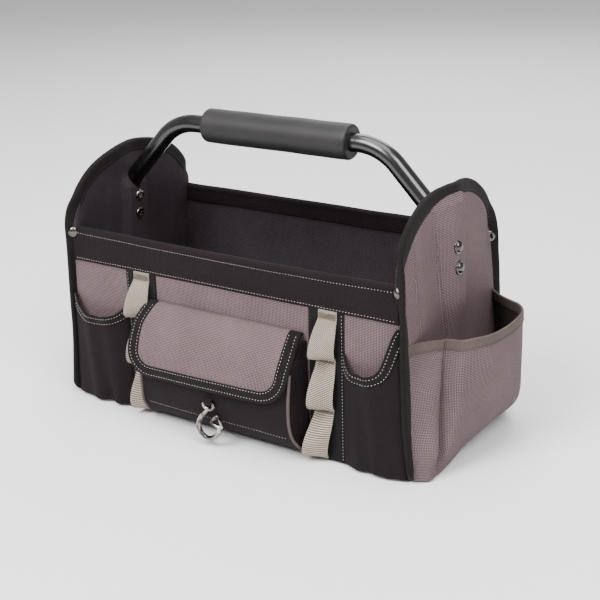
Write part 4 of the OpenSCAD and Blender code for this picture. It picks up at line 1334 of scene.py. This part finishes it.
def handle():
    """The tube, a circle carried along straight runs and bends, with short bores in its ends, and
    the foam grip: a round profile with filleted ends turned about the tube, slightly uneven."""
    def leg(z):
        return END_X - z * math.tan(LEAN)
    half = [(leg(170), 170), (leg(227), 227), (127, 301)]
    line = bent_line(half + [(-x, z) for x, z in half[::-1]], [30, 60, 60, 30])
    line = even(line, 420)
    path = stack(line[:, 0], 0, line[:, 1])
    across, up = ways(path, (0, 1, 0))
    outer = carried(path, across, up, circle(40, 9.5))
    bore = [carried(path[[i]], across[[i]], up[[i]], circle(40, 8.0)) for i in (13, 0, -1, -14)]
    sleeve("handle_tube_steel", np.concatenate(bore[:2] + [outer] + bore[2:]), TUBE_PAINT,
           replaces=["handle_tube"])

    near, far = (np.array(v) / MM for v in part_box("handle_grip"))
    x0, x1, zc, r = near[0], far[0], (near[2] + far[2]) / 2, (far[2] - near[2]) / 2
    u = np.linspace(0, 1, 120)
    a = np.radians(np.linspace(0, 90, 10))
    fillet = 3.2
    lengthways = np.concatenate([
        [x0, x0 + 0.3], x0 + fillet * (1 - np.cos(a)), mix(x0 + fillet, x1 - fillet, u)[1:-1],
        x1 - fillet * (1 - np.cos(a[::-1])), [x1 - 0.3, x1]])
    radius = np.concatenate([[9.7, r - fillet - 1.2], r - fillet + fillet * np.sin(a), np.full(118, r),
                             r - fillet + fillet * np.sin(a[::-1]), [r - fillet - 1.2, 9.7]])
    around = np.arange(72) * TURN / 72
    rr = np.repeat(radius[:, None], 72, 1)
    soft = ease(12, 17, rr)
    lw = np.repeat(lengthways[:, None], 72, 1)
    rr = rr + soft * (0.28 * ripple(lw, np.cos(around) * 25, 17, 50) - 0.5 * hump(np.cos(around), -1, 0.25)
                      + 0.25 * np.sin(lw / 9) * hump(np.sin(around), -1, 0.5) * hump(lw, x0 + 20, 30))
    rings = stack(lw, rr * np.sin(around), zc + rr * np.cos(around))
    bore_rings = stack(np.linspace(x1, x0, 12)[1:-1, None], 9.6 * np.sin(around), zc + 9.6 * np.cos(around))
    grip = sleeve("handle_grip_foam", np.concatenate([rings, bore_rings]), FOAM, closed=True,
                  replaces=["handle_grip"])


def fasteners():
    """Screw heads, nuts, rivet caps and rivet rings: profiles of (radius, height) pairs, turned
    on the end panel's own normal, or on the binding's where they sit on a corner wing."""
    heads, nuts, caps, rings = [], [], [], []
    dome = [(0.01, 3.9), (1.6, 3.8), (3.2, 3.4), (4.6, 2.7), (5.4, 1.8), (5.7, 1.0), (6.4, 0.9),
            (7.2, 0.6), (7.5, 0.0), (7.4, -0.8), (2.4, -0.9), (2.4, -12)]
    nut = [(2.0, 0.4), (2.3, 1.9), (3.2, 2.3), (4.2, 2.1), (5.4, 1.8), (6.1, 1.2), (6.3, 0.4),
           (6.2, -0.3), (2.0, -0.5)]
    cap = [(0.01, 3.5), (1.8, 3.35), (3.5, 2.9), (5.0, 2.1), (6.1, 1.1), (6.6, 0.2), (6.6, -0.4), (2.4, -0.6)]
    ring = [(2.2, -0.5), (2.3, 0.6), (2.9, 1.2), (4.0, 1.4), (5.2, 1.2), (6.0, 0.6), (6.2, -0.2), (6.1, -0.8)]
    for side in SIDES:
        out = at_end(np.array([1.0, 0, 0]), side) - at_end(np.zeros(3), side)
        for z in (190, 211):
            zp = z / math.cos(LEAN)
            seat = np.array([skin_height(-4.0, zp, 30 + side) - 0.3, -4.0, zp])
            heads.append(turned(at_end(seat, side), out, dome))
            nuts.append(turned(at_end(np.array([-11.0, 0, zp]), side), -out, nut))
        inner, stand, across = binding_frame(RIM_POINTS)
        i = int(np.argmin(abs(inner[:RIM_POINTS // 2, 2] - 193.5)))
        for j in (i, RIM_POINTS - i):
            p, n = inner[j] + stand[j] * 3.0, across[j]
            outwards = at_end(p + n, side) - at_end(p, side)
            rings.append(turned(at_end(p + n * 3.0, side), outwards, ring))
            caps.append(turned(at_end(p - n * 3.0, side), -outwards, cap))
    several("handle_screw_heads", heads, SCREW_METAL, replaces=["handle_screws"])
    several("handle_nut_rings", nuts, NICKEL, replaces=["handle_barrel_nuts"])
    several("corner_rivet_domes", caps, RIVET_METAL, replaces=["corner_rivet_caps"])
    several("corner_rivet_eyes", rings, RIVET_METAL, replaces=["corner_rivet_rings"])


# ------------------------------------------------------------------ pocket rows


def pocket_row(word, half, back, rim, foot, finish, seed, rows):
    """Three pockets in a row on the wall at y = back: one sheet, sewn down at four seams and full
    between them, by the power 0.7 of a sine of three half waves."""
    def surface(u, v):
        swell = abs(np.sin(3 * math.pi * np.clip(u, 0, 1))) ** 0.7
        z = mix(foot, rim - 3.5 * swell, v)
        depth = swell * (10.5 * (0.55 + 0.45 * v)) + 0.5 * ripple(u * 2 * half, z, seed, 60) * swell
        return stack(mix(-half, half, u), back + 1.4 + depth, z)
    out = (0, 1, 0)
    u, v = np.meshgrid(np.linspace(0, 1, 200), np.linspace(0, 0.995, 50), indexing="ij")
    piece = shell(f"{word}_pocket_row_cloth", surface(u, v), 1.2, out, finish,
                  replaces=[f"{word}_pocket_row"])
    u, a = np.meshgrid(np.linspace(0.002, 0.998, 240), np.linspace(0, 8.5, 7), indexing="ij")
    edge_tape(f"{word}_pocket_row_rim", surface, u, 0.995 - a / (rim - foot), 1.2, 0.7, out, 5e-4, TAPE,
              replaces=[f"{word}_pocket_binding"])
    u = np.linspace(0.004, 0.996, 300)
    for a in (1.8, 7.0):
        v = np.full(300, 0.995 - a / (rim - foot))
        rows.row(over(surface, u, v, 0.8, out, 5e-4), out)
    for u0 in (0.0035, 1 / 3, 2 / 3, 0.9965):
        path = surface(np.full(60, u0), np.linspace(0.01, 0.9, 60))
        rows.row(path + (0, 0.15, 0), out)


def rows_of_pockets():
    """The pocket row inside the front wall and the one on the back."""
    rows = Stitches()
    pocket_row("inner", 150, -INSIDE, 119.6, 6.2, LINING, 14, rows)
    pocket_row("back", 191, FACE, 121.6, 3.2, BLACK, 15, rows)
    rows.make("pocket_row_stitching", WHITE_THREAD)


# ------------------------------------------------------------------ floor


def floor():
    """A pale floor, a square half a millimetre below the bag's feet."""
    p = Paint("pale_floor", Roughness=0.9, Specular_IOR_Level=0.2)
    cloud = p.noise(900, 2.0)
    p.link("Base Color", p.blend(cloud, (0.86, 0.86, 0.86, 1), (0.9, 0.9, 0.9, 1)))
    mesh = bpy.data.meshes.new("floor")
    corners = [(x, y, -0.0005) for x, y in ((-8, -8), (8, -8), (8, 8), (-8, 8))]
    mesh.from_pydata(corners, [], [(0, 1, 2, 3)])
    mesh.materials.append(p.material)
    ground = bpy.data.objects.new("floor", mesh)
    bpy.context.scene.collection.objects.link(ground)


walls()
bands()
base()
ends()
bindings()
end_pockets()
strips()
loops()
side_pockets()
flap_pocket()
flap_cloth()
key_hook()
handle()
fasteners()
rows_of_pockets()
floor()
